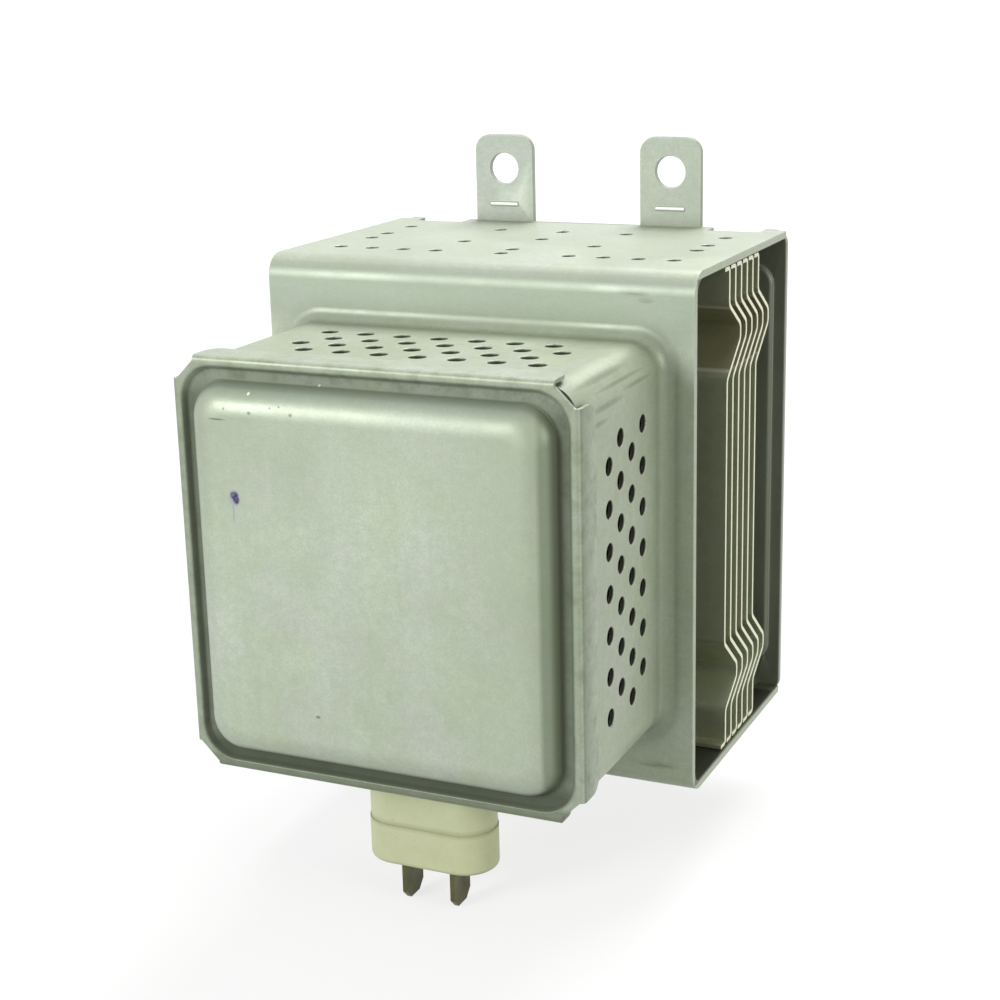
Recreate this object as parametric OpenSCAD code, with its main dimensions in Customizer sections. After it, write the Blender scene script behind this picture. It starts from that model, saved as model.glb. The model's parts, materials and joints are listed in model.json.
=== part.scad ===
// Microwave oven magnetron, modelled as it comes apart on a bench.
// Frame: origin on the antenna axis in the mounting face, +Y along the antenna,
// +Z towards the upper pair of ears. The filter box faces -Y, its terminals point down.

/* [Yoke] */
// Width of the yoke, across the open sides
yoke_w = 80; // [72:0.5:95]
// Height of the yoke over its top and bottom sheets
yoke_h = 91.4; // [86:0.2:105]
// Depth of the yoke, from its front face to the mounting face
yoke_depth = 54; // [50:0.5:62]
// Thickness of the drawn and bent yoke sheet
yoke_sheet = 1.4; // [1:0.1:1.8]
// Outer radius of the two bends of the yoke sheet
yoke_bend_r = 4; // [2.5:0.5:6]
// Diameter of the vent holes in the top and bottom sheets
roof_vent_d = 2.5; // [1.5:0.1:3.5]
// Spacing of the vent holes along the front row of the sheets
roof_vent_pitch = 6.4; // [5:0.1:7]
// Distance of that front row from the yoke's front face
roof_vent_y = 12.6; // [9:0.1:15]
// Distance of the single hole behind that row from the front face
roof_vent_near = 17.5; // [16:0.1:20]
// Distance of the first staggered holes from the front face
roof_vent_mid = 24.6; // [22:0.1:26]
// Distance of the second staggered holes from the front face
roof_vent_far = 30.7; // [29:0.1:34]
// Distance of the rearmost holes from the front face
roof_vent_back = 40.7; // [37:0.1:42]
// Width of each crimp notch in the rear edge of the sheets
notch_w = 10; // [6:0.5:12]
// Depth of each crimp notch
notch_depth = 3; // [1:0.5:4]
// Distance of each crimp notch from the middle of the yoke
notch_x = 30.5; // [26:0.5:33]

/* [Filter box] */
// Width of the box that is drawn out of the yoke's front
box_w = 68.8; // [62:0.1:70]
// Height of the drawn box
box_h = 68.8; // [62:0.1:72]
// Depth of the drawn box in front of the yoke
box_depth = 36.8; // [34:0.1:46]
// Thickness of the box walls, which the drawing thins
box_wall = 0.9; // [0.7:0.1:1]
// Outer radius of the box's upright corners
box_corner_r = 5; // [4:0.5:7]
// Radius of the fillet between the box and the yoke's front
box_fillet_r = 2.5; // [1.5:0.5:4]
// Diameter of the vent holes in the box
vent_d = 3; // [2:0.1:4]
// Spacing of the vent holes along a row
vent_pitch = 6.95; // [5.5:0.05:7.4]
// Distance between rows of vent holes
vent_row_pitch = 4.98; // [4.2:0.01:5.2]
// Distance of the first row of vent holes from the yoke's front
vent_first = 9.3; // [7:0.05:10]
// Vent holes in each row
vent_count = 7; // [3:1:7]
// Rows of vent holes on each wall
vent_rows = 4; // [2:1:4]
// Height of the middle of the vent field on the side walls
side_vent_z = 0; // [-4:0.5:4]
// Sideways place of the middle of the vent field on the upper wall
top_vent_x = 0; // [-4:0.5:4]

/* [Filter cover] */
// Thickness of the cover sheet
cover_sheet = 0.7; // [0.5:0.1:1]
// Depth of the folded flanges over the box walls
cover_flange = 6.2; // [5:0.1:9]
// Corner cut of the cover, along each side
cover_chamfer = 3.6; // [3:0.1:4]
// Width of the rim outside the pressed groove
rim_w = 1; // [1:0.1:1.5]
// Radius of the pressed groove's outer edge at the corners
groove_corner_r = 7.2; // [7:0.1:9]
// Depth of the pressed groove behind the rim
groove_depth = 1.1; // [0.6:0.1:1.6]
// Width of the pressed groove's floor
groove_floor = 1.6; // [1.2:0.1:1.7]
// Height of the raised panel in front of the rim
panel_rise = 3.3; // [3:0.1:3.6]
// Distance of the raised panel's edge from the groove's outer edge
panel_edge = 2.8; // [2.7:0.1:3]
// Radius of the panel's rounded edge
panel_edge_r = 3.4; // [1.5:0.1:3.4]
// Outer bend radius of the folded flanges
cover_bend_r = 0.9; // [0.8:0.05:0.95]
// Radius of the flanges' free corners
flange_corner_r = 2.5; // [1:0.5:4]

/* [Mounting plate] */
// Thickness of the mounting plate
plate_t = 1.4; // [1:0.1:2]
// Corner radius of the mounting plate
plate_corner_r = 2.5; // [1:0.5:4]
// Distance between the ear holes across the plate
ear_spacing = 34.4; // [28:0.1:44]
// Height of the ear holes above the yoke's top sheet
ear_hole_rise = 10.3; // [9:0.1:13]
// Diameter of the ear holes
ear_hole_d = 6; // [4.5:0.1:7]
// Width of each ear
ear_w = 12.2; // [11:0.1:15]
// Height of each ear above the yoke's top sheet
ear_rise = 16.8; // [16:0.1:21]
// Corner radius of the ears
ear_corner_r = 3; // [1:0.5:5]
// Height of the raised panel pressed into the plate
emboss_rise = 0.8; // [0.4:0.1:1.2]
// Distance of the raised panel's side edges from the plate's edges
emboss_side = 2.3; // [2:0.1:8]
// Distance of the raised panel's top and bottom edges from the plate's edges
emboss_top = 6.2; // [4:0.1:10]
// Corner radius of the raised panel
emboss_corner_r = 4; // [2:0.5:8]
// Length of the stiffening bead on each ear
bead_l = 5.8; // [4:0.1:8]
// Height of the bead above the yoke's top sheet
bead_rise = 3.4; // [2:0.1:5]
// Radius of the bead
bead_r = 0.4; // [0.2:0.05:0.6]

/* [Magnets] */
// Outer diameter of the ring magnets
magnet_od = 52; // [48:0.5:53]
// Bore of the ring magnets
magnet_bore = 24; // [23:0.5:26]
// Thickness of each ring magnet
magnet_t = 12; // [10:0.1:12.6]
// Edge chamfer of the ring magnets
magnet_chamfer = 0.6; // [0.2:0.1:1.5]
// Thickness of the plate that closes the drawn box behind the input magnet
input_plate_t = 1.6; // [1:0.1:2]

/* [Anode] */
// Outer diameter of the anode cylinder
anode_od = 40; // [39:0.5:42]
// Wall of the anode cylinder
anode_wall = 2; // [1.6:0.1:2.4]
// Number of resonator vanes
vane_count = 10; // [8:2:12]
// Thickness of each vane
vane_t = 2; // [1.4:0.1:2.2]
// Height of each vane along the axis
vane_h = 9.6; // [9:0.1:10.4]
// Radius of the circle through the vane tips
vane_tip_r = 4.6; // [4.2:0.1:5]
// Thickness of the pole pieces
pole_t = 1.6; // [1.2:0.1:2]
// Radius of the hole in the pole pieces
pole_hole_r = 5.2; // [5:0.1:5.6]
// Gap between each pole piece and the vanes
pole_gap = 1.7; // [1.4:0.1:2]

/* [Cooling fins] */
// Spacing of the fins along the axis
fin_pitch = 3.35; // [2.8:0.05:3.4]
// Thickness of the fin sheet
fin_t = 0.7; // [0.4:0.1:0.8]
// How far the fins stop short of the yoke's open sides
fin_inset = 0.5; // [0.2:0.1:3]
// Gap between the fins and the yoke's sheets
fin_gap = 0.3; // [0.1:0.1:0.8]
// Height of the wave near both ends of a fin
fin_wave = 7.4; // [4:0.1:7.8]
// Offset of a fin's end strip behind its flat middle
fin_step = 0.9; // [0:0.1:1.5]
// Length of the lip folded at both ends of a fin
fin_lip = 2.6; // [1.8:0.1:2.8]
// Half height of a fin's flat middle
fin_flat = 24.2; // [23:0.1:25]
// Height at which the wave reaches its crest
wave_start = 30.3; // [29.5:0.1:31]
// Height at which the wave leaves its crest
wave_end = 32.9; // [32:0.1:33.5]
// Height at which the wave reaches the end strip
wave_foot = 37.2; // [36.5:0.1:38.5]
// Bend radius of the fin sheet at its middle line
fin_bend_r = 1.6; // [1:0.1:2]
// Length of the collar that grips the anode
fin_collar = 1.8; // [1:0.1:2]

/* [Cathode] */
// Diameter of the filament coil at its wire's middle
filament_d = 3.8; // [3.2:0.1:4.4]
// Wire diameter of the filament
filament_wire_d = 0.5; // [0.4:0.05:0.6]
// Turns of the filament
filament_turns = 8; // [6:1:9]
// Diameter of the end hats
end_hat_d = 8.4; // [8.1:0.1:8.8]
// Thickness of the end hats
end_hat_t = 1.2; // [0.8:0.1:1.4]
// Diameter of the two cathode leads
lead_d = 1.5; // [1.2:0.1:1.6]
// Distance of the side lead from the axis
side_lead_x = 3.3; // [3.2:0.1:3.4]
// Diameter of the ceramic stem
stem_d = 17; // [15:0.5:18.5]
// Length of the ceramic stem in front of the yoke's face
stem_reach = 9; // [6:0.5:11]
// Length of the two stem terminals
stem_terminal_l = 8; // [7:0.5:9]
// Width of the two stem terminals
stem_terminal_w = 4; // [3:0.5:6]
// Thickness of the stem terminal strip
stem_terminal_t = 1; // [0.8:0.1:1.2]

/* [Antenna] */
// Outer diameter of the two seal sleeves' necks
neck_d = 20.4; // [19:0.2:21]
// Wall of the seal sleeves
sleeve_wall = 0.6; // [0.4:0.1:0.8]
// Height of the output sleeve above the mounting face
output_neck_rise = 2.4; // [1:0.1:4]
// Outer diameter of the antenna ceramic
antenna_ceramic_d = 17.4; // [16:0.2:18]
// Wall of the antenna ceramic
antenna_ceramic_wall = 2.2; // [1.6:0.1:2.4]
// Length of the antenna ceramic
antenna_ceramic_l = 9.6; // [7:0.1:12]
// Outer diameter of the antenna cap
antenna_cap_d = 15; // [13.5:0.1:15.6]
// Length of the antenna cap up to its dome
antenna_cap_l = 14; // [10:0.1:18]
// Wall of the antenna cap
antenna_cap_wall = 0.5; // [0.4:0.1:0.8]
// Edge radius of the antenna cap's end
antenna_cap_r = 3; // [2:0.1:5]
// Outer diameter of the exhaust tube
exhaust_d = 6; // [5:0.1:7]
// Length of the exhaust tube
exhaust_l = 9; // [6:0.1:11]
// Diameter of the antenna lead
antenna_lead_d = 1.8; // [1.4:0.1:1.9]
// Distance of the antenna lead from the axis at the vanes
antenna_lead_r = 9.9; // [9.8:0.1:10]
// Outer diameter of the mesh gasket
gasket_od = 33; // [30:0.5:38]
// Height of the mesh gasket in front of the mounting face
gasket_rise = 3.8; // [2:0.1:5]

/* [Feedthrough capacitor] */
// Length of the oval capacitor case
case_l = 23.5; // [21:0.1:26]
// Depth of the oval capacitor case
case_d = 11.4; // [10:0.1:13]
// How far the case stands below the box's lower wall
case_drop = 20.6; // [16:0.1:24]
// Height of the case's wider lower part
case_foot_h = 7.5; // [5:0.1:9]
// How far the lower part is wider than the neck, all round
case_step = 0.15; // [0.1:0.05:0.6]
// How far the capacitor's middle lies in front of the box's middle
case_forward = 2.3; // [-1:0.05:3]
// Radius of the case's lower edge
case_edge_r = 0.8; // [0.3:0.1:1.5]
// Height of the case inside the box
inner_case_h = 7; // [5:0.5:8]
// Thickness of the earth plate
earth_plate_t = 1; // [0.8:0.1:1.4]
// Width of the earth plate around the case
earth_plate_margin = 6; // [5.8:0.1:7]
// Diameter of the rivets' shanks
rivet_d = 3; // [2.5:0.1:3.4]
// Diameter of the rivets' heads
rivet_head_d = 5.2; // [4.4:0.1:5.4]
// Height of the rivets' heads
rivet_head_h = 1; // [0.6:0.1:1.4]
// Distance between the two terminals
tab_spacing = 9.2; // [8.4:0.1:10]
// Width of each terminal tab
tab_w = 6.35; // [4.8:0.05:6.5]
// Thickness of each terminal tab
tab_t = 0.8; // [0.5:0.1:1]
// Length of each terminal tab
tab_l = 7.8; // [6:0.1:10]
// Corner cut at the end of each tab
tab_chamfer = 1.6; // [0.8:0.1:1.8]
// Diameter of the conductors inside the case
conductor_d = 3; // [2.6:0.1:3.4]
// How far the conductors stand above the inner case
conductor_rise = 5; // [3.5:0.5:6]

/* [Chokes] */
// Diameter of the choke wire
choke_wire_d = 1.4; // [1.2:0.1:1.6]
// Coil radius at the wire's middle
choke_r = 3.6; // [3.4:0.1:4]
// Turns of each choke, ending half a turn round
choke_turns = 9.5; // [7.5:1:9.5]
// Distance of each choke's axis from the middle of the box
choke_x = 13; // [12:0.5:18]
// Diameter of the ferrite cores
core_d = 5; // [4.4:0.1:5.2]
// Length by which the cores stand out of the coils at each end
core_over = 2.5; // [1:0.5:5]

/* [Hidden] */
$fn = 64;
// Number of cooling fins, each of them a node
fin_count = 6;

// Clearance of a close fit, and the overlap that joins shapes into one piece
fit = 0.03;
join = 0.2;
// A length that reaches past any piece when it cuts
past = 300;

steel = [0.74, 0.77, 0.71];
bright_steel = [0.8, 0.8, 0.77];
aluminium = [0.85, 0.85, 0.82];
copper = [0.78, 0.5, 0.34];
ferrite = [0.22, 0.22, 0.23];
ceramic = [0.93, 0.87, 0.84];
cream = [0.78, 0.78, 0.64];
dark_metal = [0.45, 0.45, 0.44];
enamel = [0.6, 0.32, 0.16];

// Places along the axis, counted from the mounting face
front_y = -yoke_depth;
front_inner_y = front_y + yoke_sheet;
input_plate_y = front_inner_y + input_plate_t;
pad_y = -plate_t - emboss_rise;
anode_front_y = input_plate_y + magnet_t;
anode_back_y = pad_y - magnet_t;
anode_mid_y = (anode_front_y + anode_back_y) / 2;
anode_r = anode_od / 2;
anode_inner_r = anode_r - anode_wall;
magnet_bore_r = magnet_bore / 2;
vane_front_y = anode_mid_y - vane_h / 2;
vane_back_y = anode_mid_y + vane_h / 2;
box_front_y = front_y - box_depth;
box_inner_w = box_w - 2 * box_wall;
box_inner_h = box_h - 2 * box_wall;
inner_half_h = yoke_h / 2 - yoke_sheet;

// Sleeves and stem
neck_r = neck_d / 2;
neck_inner_r = neck_r - sleeve_wall;
sleeve_mouth_r = magnet_bore_r - 0.3;
sleeve_lip_r = 6.4;
stem_back_y = front_y + 0.4;
stem_front_y = front_y - stem_reach;
output_neck_y = output_neck_rise;
antenna_ceramic_y = output_neck_y + antenna_ceramic_l;
exhaust_disc_t = 0.8;
cap_y = antenna_ceramic_y + exhaust_disc_t;

// Straps, which touch every second vane and clear the others by the play
strap_w = 0.7;
strap_h = 1;
strap_inner_r = 6.4;
strap_outer_r = 7.9;
strap_play = 0.5;

// Cathode
filament_r = filament_d / 2;
hat_front_y = vane_front_y - 0.4;
hat_back_y = vane_back_y + 0.4;
lead_r = lead_d / 2;

// Capacitor and chokes
box_floor_z = -box_h / 2;
box_inner_floor_z = box_floor_z + box_wall;
earth_plate_z = box_inner_floor_z + earth_plate_t;
case_bottom_z = box_floor_z - case_drop;
inner_case_z = earth_plate_z + inner_case_h;
conductor_top_z = inner_case_z + conductor_rise;
case_mid_y = front_y - box_depth / 2 - case_forward;
neck_l = case_l - 2 * case_step;
neck_depth = case_d - 2 * case_step;
rivet_x = case_l / 2 + earth_plate_margin / 2;
choke_wire_r = choke_wire_d / 2;
conductor_r = conductor_d / 2;
choke_low_z = conductor_top_z - choke_wire_d;
choke_high_z = 0;
// The lower lead runs in front of its conductor, the upper one beside its stem terminal
choke_y = case_mid_y - conductor_r - choke_wire_r - fit + choke_r;
stem_terminal_x = 5;

// Vectors and paths

function unit(v) = v / norm(v);
function flip(list) = [for (i = [len(list) - 1:-1:0]) list[i]];
function turn_between(a, b) = let (d = b - a) d > 180 ? d - 360 : d < -180 ? d + 360 : d;

// Points of an arc of radius r that rounds the corner b between a and c
function corner_arc(a, b, c, r, steps) =
  let (
    u = unit(a - b),
    v = unit(c - b),
    half = acos(u * v) / 2,
    centre = b + unit(u + v) * r / sin(half),
    from = b + u * r / tan(half) - centre,
    to = b + v * r / tan(half) - centre,
    start = atan2(from[1], from[0]),
    sweep = turn_between(start, atan2(to[1], to[0]))
  )
  [for (i = [0:steps]) centre + r * [cos(start + sweep * i / steps), sin(start + sweep * i / steps)]];

// A path through the given corners, each rounded by its own radius
function round_path(corners, radii, steps) = concat(
  [corners[0]],
  [for (i = [1:len(corners) - 2])
    each corner_arc(corners[i - 1], corners[i], corners[i + 1], radii[i - 1], steps)],
  [corners[len(corners) - 1]]
);

// The same path moved sideways by d
function side_path(path, d) = [for (i = [0:len(path) - 1])
  let (
    before = unit(path[max(i, 1)] - path[max(i, 1) - 1]),
    after = unit(path[min(i, len(path) - 2) + 1] - path[min(i, len(path) - 2)]),
    middle = unit(before + after)
  )
  path[i] + [-middle[1], middle[0]] * d / (middle * before)];

// Outline of a bent sheet that follows a path at its middle
function sheet_outline(path, t) = concat(side_path(path, t / 2), flip(side_path(path, -t / 2)));

// Rings of a round wire along a route, with a reference direction that the route never takes
function wire_rings(route, r, up, sides) = [for (i = [0:len(route) - 1])
  let (
    along = unit(route[min(i + 1, len(route) - 1)] - route[max(i - 1, 0)]),
    across = unit(cross(along, up)),
    rise = cross(across, along)
  )
  each [for (k = [0:sides - 1])
    route[i] + r * (cos(360 * k / sides) * across + sin(360 * k / sides) * rise)]];

// Shared shapes

// A plate parallel to the mounting face, from an outline in X and Z
module plate(y_low, thickness) {
  translate([0, y_low + thickness, 0]) rotate([90, 0, 0]) linear_extrude(thickness) children();
}

// A bar along X, from an outline in Y and Z
module bar(length) {
  rotate([90, 0, 90]) linear_extrude(length, center = true) children();
}

// A turned piece on the antenna axis, from an outline in radius and Y
module turned() {
  rotate([-90, 0, 0]) rotate_extrude() children();
}

// A round hole or rod along Y
module rod_y(r, y_low, y_high, x = 0, z = 0) {
  translate([x, y_low, z]) rotate([-90, 0, 0]) cylinder(r = r, h = y_high - y_low);
}

module round_rect(w, h, r) {
  square([w - 2 * r, h], center = true);
  square([w, h - 2 * r], center = true);
  for (sx = [-1, 1], sz = [-1, 1])
    translate([sx * (w / 2 - r), sz * (h / 2 - r)]) circle(r);
}

module oval(length, depth) {
  square([length - depth, depth], center = true);
  for (side = [-1, 1]) translate([side * (length - depth) / 2, 0]) circle(depth / 2);
}

// Carries a section round a rounded rectangle; the section's x points outwards, its y along Z
module around_rect(w, h, r) {
  for (side = [0:3]) {
    run = (side % 2 == 0 ? h : w) - 2 * r;
    reach = (side % 2 == 0 ? w : h) / 2;
    rotate([0, 0, 90 * side]) translate([reach, 0, 0]) rotate([90, 0, 0])
      linear_extrude(run, center = true) children();
  }
  for (corner = [0:3]) {
    sx = corner == 0 || corner == 3 ? 1 : -1;
    sz = corner < 2 ? 1 : -1;
    translate([sx * (w / 2 - r), sz * (h / 2 - r), 0]) rotate([0, 0, 90 * corner])
      rotate_extrude(angle = 90) translate([r, 0]) children();
  }
}

// The hollow corner that a fillet of radius r fills
module fillet_section(r) {
  difference() {
    translate([-join, -join]) square(r + join);
    translate([r, r]) circle(r);
  }
}

module wire(route, r, up, sides) {
  last = (len(route) - 1) * sides;
  polyhedron(
    points = wire_rings(route, r, up, sides),
    faces = concat(
      [[for (k = [0:sides - 1]) k]],
      [for (i = [0:len(route) - 2], k = [0:sides - 1])
        [i * sides + k, (i + 1) * sides + k, (i + 1) * sides + (k + 1) % sides]],
      [for (i = [0:len(route) - 2], k = [0:sides - 1])
        [i * sides + k, (i + 1) * sides + (k + 1) % sides, i * sides + (k + 1) % sides]],
      [[for (k = [sides - 1:-1:0]) last + k]]
    )
  );
}

// Yoke

module bent_outline(depth, height, r) {
  translate([r, -height / 2]) square([depth - r, height]);
  translate([0, r - height / 2]) square([depth, height - 2 * r]);
  for (side = [-1, 1]) translate([r, side * (height / 2 - r)]) circle(r);
}

module yoke_section() {
  sheet_end = yoke_depth - plate_t;
  translate([front_y, 0]) difference() {
    bent_outline(sheet_end, yoke_h, yoke_bend_r);
    translate([yoke_sheet, 0]) bent_outline(sheet_end, 2 * inner_half_h, yoke_bend_r - yoke_sheet);
  }
}

module box_outline() {
  round_rect(box_w, box_h, box_corner_r);
}

module box_inside() {
  round_rect(box_inner_w, box_inner_h, box_corner_r - box_wall);
}

// A staggered field of holes through the wall, drilled along Z from the wall's middle
module vent_field() {
  for (row = [0:vent_rows - 1], i = [0:vent_count - 1]) {
    stagger = (row % 2 == 0 ? -1 : 1) * vent_pitch / 4;
    along = (i - (vent_count - 1) / 2) * vent_pitch + stagger;
    translate([along, front_y - vent_first - row * vent_row_pitch, 0]) children();
  }
}

module roof_vents() {
  row = [for (step = [0, 2, 3, 4, 5]) [step, roof_vent_y]];
  near = [
    [0, roof_vent_near],
    [2, roof_vent_mid],
    [5, roof_vent_mid],
    [0, roof_vent_far],
    [5, roof_vent_far]
  ];
  back = [for (step = [0, 2, 5]) [step, roof_vent_back]];
  for (place = concat(row, near, back), side = place[0] == 0 ? [1] : [-1, 1])
    translate([side * place[0] * roof_vent_pitch, front_y + place[1], 0])
      cylinder(d = roof_vent_d, h = past, center = true);
}

module rivet_holes() {
  for (side = [-1, 1])
    translate([side * rivet_x, case_mid_y, box_floor_z - join])
      cylinder(d = rivet_d + 2 * fit, h = box_wall + earth_plate_t + 2 * join);
}

module yoke_case() {
  color(steel) difference() {
    union() {
      bar(yoke_w) yoke_section();
      plate(box_front_y, box_depth + yoke_sheet) box_outline();
      translate([0, front_y, 0]) rotate([90, 0, 0])
        around_rect(box_w, box_h, box_corner_r) fillet_section(box_fillet_r);
    }
    plate(box_front_y - join, box_depth + yoke_sheet + 2 * join) box_inside();
    translate([0, front_inner_y, 0]) rotate([90, 0, 0])
      around_rect(box_inner_w, box_inner_h, box_corner_r - box_wall)
        fillet_section(box_fillet_r + box_wall);
    translate([0, 0, side_vent_z]) rotate([0, 90, 0])
      vent_field() cylinder(d = vent_d, h = past, center = true);
    translate([top_vent_x, 0, 0]) vent_field() cylinder(d = vent_d, h = box_h);
    roof_vents();
    for (side = [-1, 1])
      translate([side * notch_x - notch_w / 2, -plate_t - notch_depth, -past / 2])
        cube([notch_w, notch_depth + join, past]);
    translate([0, case_mid_y, box_floor_z - join])
      linear_extrude(box_wall + 2 * join) oval(neck_l + 2 * fit, neck_depth + 2 * fit);
    rivet_holes();
  }
}

module input_yoke_plate() {
  margin = 1;
  color(steel) difference() {
    plate(front_inner_y, input_plate_t)
      square([yoke_w - 2 * margin, 2 * (yoke_h / 2 - yoke_bend_r)], center = true);
    rod_y(magnet_bore_r, front_inner_y - join, input_plate_y + join);
  }
}

// Mounting plate

module ear_outline() {
  root = yoke_h / 2 - ear_w / 2;
  translate([0, (root + yoke_h / 2 + ear_rise) / 2])
    round_rect(ear_w, yoke_h / 2 + ear_rise - root, ear_corner_r);
}

module at_ears() {
  for (turn = [0, 180], side = [-1, 1])
    rotate([0, turn, 0]) translate([side * ear_spacing / 2, 0, 0]) children();
}

module mounting_plate() {
  pad_w = yoke_w - 2 * emboss_side - 2 * emboss_rise;
  pad_h = yoke_h - 2 * emboss_top - 2 * emboss_rise;
  pad_r = emboss_corner_r - emboss_rise;
  bead_z = yoke_h / 2 + bead_rise;
  color(bright_steel) difference() {
    union() {
      plate(-plate_t, plate_t) round_rect(yoke_w, yoke_h, plate_corner_r);
      at_ears() plate(-plate_t, plate_t) ear_outline();
      plate(pad_y, emboss_rise + join) round_rect(pad_w, pad_h, pad_r);
      translate([0, -plate_t, 0]) rotate([90, 0, 0]) around_rect(pad_w, pad_h, pad_r)
        intersection() {
          circle(emboss_rise);
          translate([-join, -join]) square(past);
        }
      at_ears() translate([0, -plate_t, bead_z]) rotate([0, 90, 0])
        cylinder(r = bead_r, h = bead_l, center = true);
    }
    plate(-emboss_rise, emboss_rise + join) round_rect(pad_w - emboss_rise, pad_h - emboss_rise, pad_r);
    at_ears() rod_y(ear_hole_d / 2, -plate_t - join, join, z = yoke_h / 2 + ear_hole_rise);
    rod_y(neck_r + join, pad_y - join, join);
  }
}

// Filter cover

module cover_flange_section(outer) {
  bend_inner_r = cover_bend_r - cover_sheet;
  translate([outer - cover_sheet, cover_bend_r]) square([cover_sheet, cover_flange - cover_bend_r]);
  translate([outer - cover_bend_r, cover_bend_r]) difference() {
    intersection() {
      circle(cover_bend_r);
      translate([0, -past]) square(past);
    }
    circle(bend_inner_r);
  }
}

module cover_flange_strip(length, outer) {
  difference() {
    rotate([90, 0, 0]) linear_extrude(length, center = true) cover_flange_section(outer);
    for (side = [-1, 1])
      translate([0, side * length / 2, cover_flange]) mirror([0, side > 0 ? 1 : 0, 0]) rotate([0, 90, 0])
        linear_extrude(outer + join) fillet_section(flange_corner_r);
  }
}

module filter_cover() {
  outer = box_w / 2 + fit + cover_sheet;
  outer_h = box_h / 2 + fit + cover_sheet;
  flat = outer - cover_bend_r;
  flat_h = outer_h - cover_bend_r;
  strip = 2 * (outer - cover_chamfer);
  strip_h = 2 * (outer_h - cover_chamfer);
  path_w = 2 * (outer - rim_w);
  path_h = 2 * (outer_h - rim_w);
  panel_inset = panel_edge + panel_edge_r + join;
  groove_start = 0.3;
  groove_x = 1;
  section = round_path(
    [[join, 0], [-groove_start, 0], [-groove_x, -groove_depth], [-groove_x - groove_floor, -groove_depth],
      [-panel_edge, panel_rise], [-panel_inset - join, panel_rise]],
    [0.4, 0.4, 0.5, panel_edge_r], 8
  );
  // The groove's back lies just in front of the box's edge
  front = box_front_y - groove_depth - cover_sheet - fit;
  color(steel) union() {
    plate(front, cover_sheet) difference() {
      intersection() {
        square([2 * flat, 2 * flat_h], center = true);
        rotate(45) square((outer + outer_h - cover_chamfer) * sqrt(2), center = true);
      }
      round_rect(path_w, path_h, groove_corner_r);
    }
    translate([0, front + cover_sheet / 2, 0]) rotate([90, 0, 0]) {
      around_rect(path_w, path_h, groove_corner_r) polygon(sheet_outline(section, cover_sheet));
      translate([0, 0, panel_rise - cover_sheet / 2]) linear_extrude(cover_sheet)
        square([path_w - 2 * panel_inset, path_h - 2 * panel_inset], center = true);
    }
    for (turn = [0, 180]) translate([0, front, 0]) {
      rotate([-90, turn, 0]) cover_flange_strip(strip_h, outer);
      rotate([-90, turn + 90, 0]) cover_flange_strip(strip, outer_h);
    }
  }
}

// Magnets

module ring_magnet(y_low) {
  outer = magnet_od / 2;
  color(ferrite) turned() polygon([
    [magnet_bore_r, y_low],
    [outer - magnet_chamfer, y_low],
    [outer, y_low + magnet_chamfer],
    [outer, y_low + magnet_t - magnet_chamfer],
    [outer - magnet_chamfer, y_low + magnet_t],
    [magnet_bore_r, y_low + magnet_t]
  ]);
}

module input_magnet() {
  ring_magnet(input_plate_y);
}

module output_magnet() {
  ring_magnet(anode_back_y);
}

// Cooling fins

function fin_half(tip_z) = [
  [fin_step - fin_lip, tip_z],
  [fin_step, tip_z],
  [fin_step, wave_foot],
  [fin_wave, wave_end],
  [fin_wave, wave_start],
  [0, fin_flat]
];

module cooling_fin(index) {
  tip_z = inner_half_h - fin_gap - fin_t / 2;
  upper = fin_half(tip_z);
  corners = concat(upper, [for (p = flip(upper)) [p[0], -p[1]]]);
  radii = [for (i = [2:len(corners) - 1]) i == 2 || i == len(corners) - 1 ? fin_t : fin_bend_r];
  fin_y = anode_mid_y + (index - (fin_count + 1) / 2) * fin_pitch;
  color(aluminium) difference() {
    union() {
      translate([0, fin_y, 0]) bar(yoke_w - 2 * fin_inset)
        polygon(sheet_outline(round_path(corners, radii, 4), fin_t));
      rod_y(anode_r + fin_t, fin_y - fin_t / 2 - fin_collar, fin_y);
    }
    rod_y(anode_r, fin_y - past, fin_y + past);
  }
}

// Anode

module anode_cylinder() {
  color(copper) turned() translate([anode_inner_r, anode_front_y])
    square([anode_wall, anode_back_y - anode_front_y]);
}

module anode_vanes() {
  notch_low_r = strap_inner_r - strap_play;
  notch_high_r = strap_outer_r + strap_w + strap_play;
  notch_mid_r = (strap_inner_r + strap_w + strap_outer_r) / 2;
  deep = strap_h + strap_play;
  color(copper) for (i = [0:vane_count - 1]) {
    inner_depth = i % 2 == 0 ? strap_h : deep;
    outer_depth = i % 2 == 0 ? deep : strap_h;
    rotate([0, 360 * (i + 0.5) / vane_count, 0]) difference() {
      intersection() {
        translate([vane_tip_r, vane_front_y, -vane_t / 2]) cube([anode_inner_r, vane_h, vane_t]);
        rod_y(anode_inner_r - fit, vane_front_y, vane_back_y);
      }
      for (end = [-1, 1]) {
        inner_y = anode_mid_y + end * (vane_h - inner_depth) / 2 - inner_depth / 2;
        outer_y = anode_mid_y + end * (vane_h - outer_depth) / 2 - outer_depth / 2;
        translate([notch_low_r, inner_y, -vane_t])
          cube([notch_mid_r - notch_low_r, inner_depth, 2 * vane_t]);
        translate([notch_mid_r, outer_y, -vane_t])
          cube([notch_high_r - notch_mid_r, outer_depth, 2 * vane_t]);
      }
    }
  }
}

module strap_rings() {
  color(copper) for (r = [strap_inner_r, strap_outer_r], y = [vane_front_y, vane_back_y - strap_h])
    turned() translate([r, y]) square([strap_w, strap_h]);
}

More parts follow.
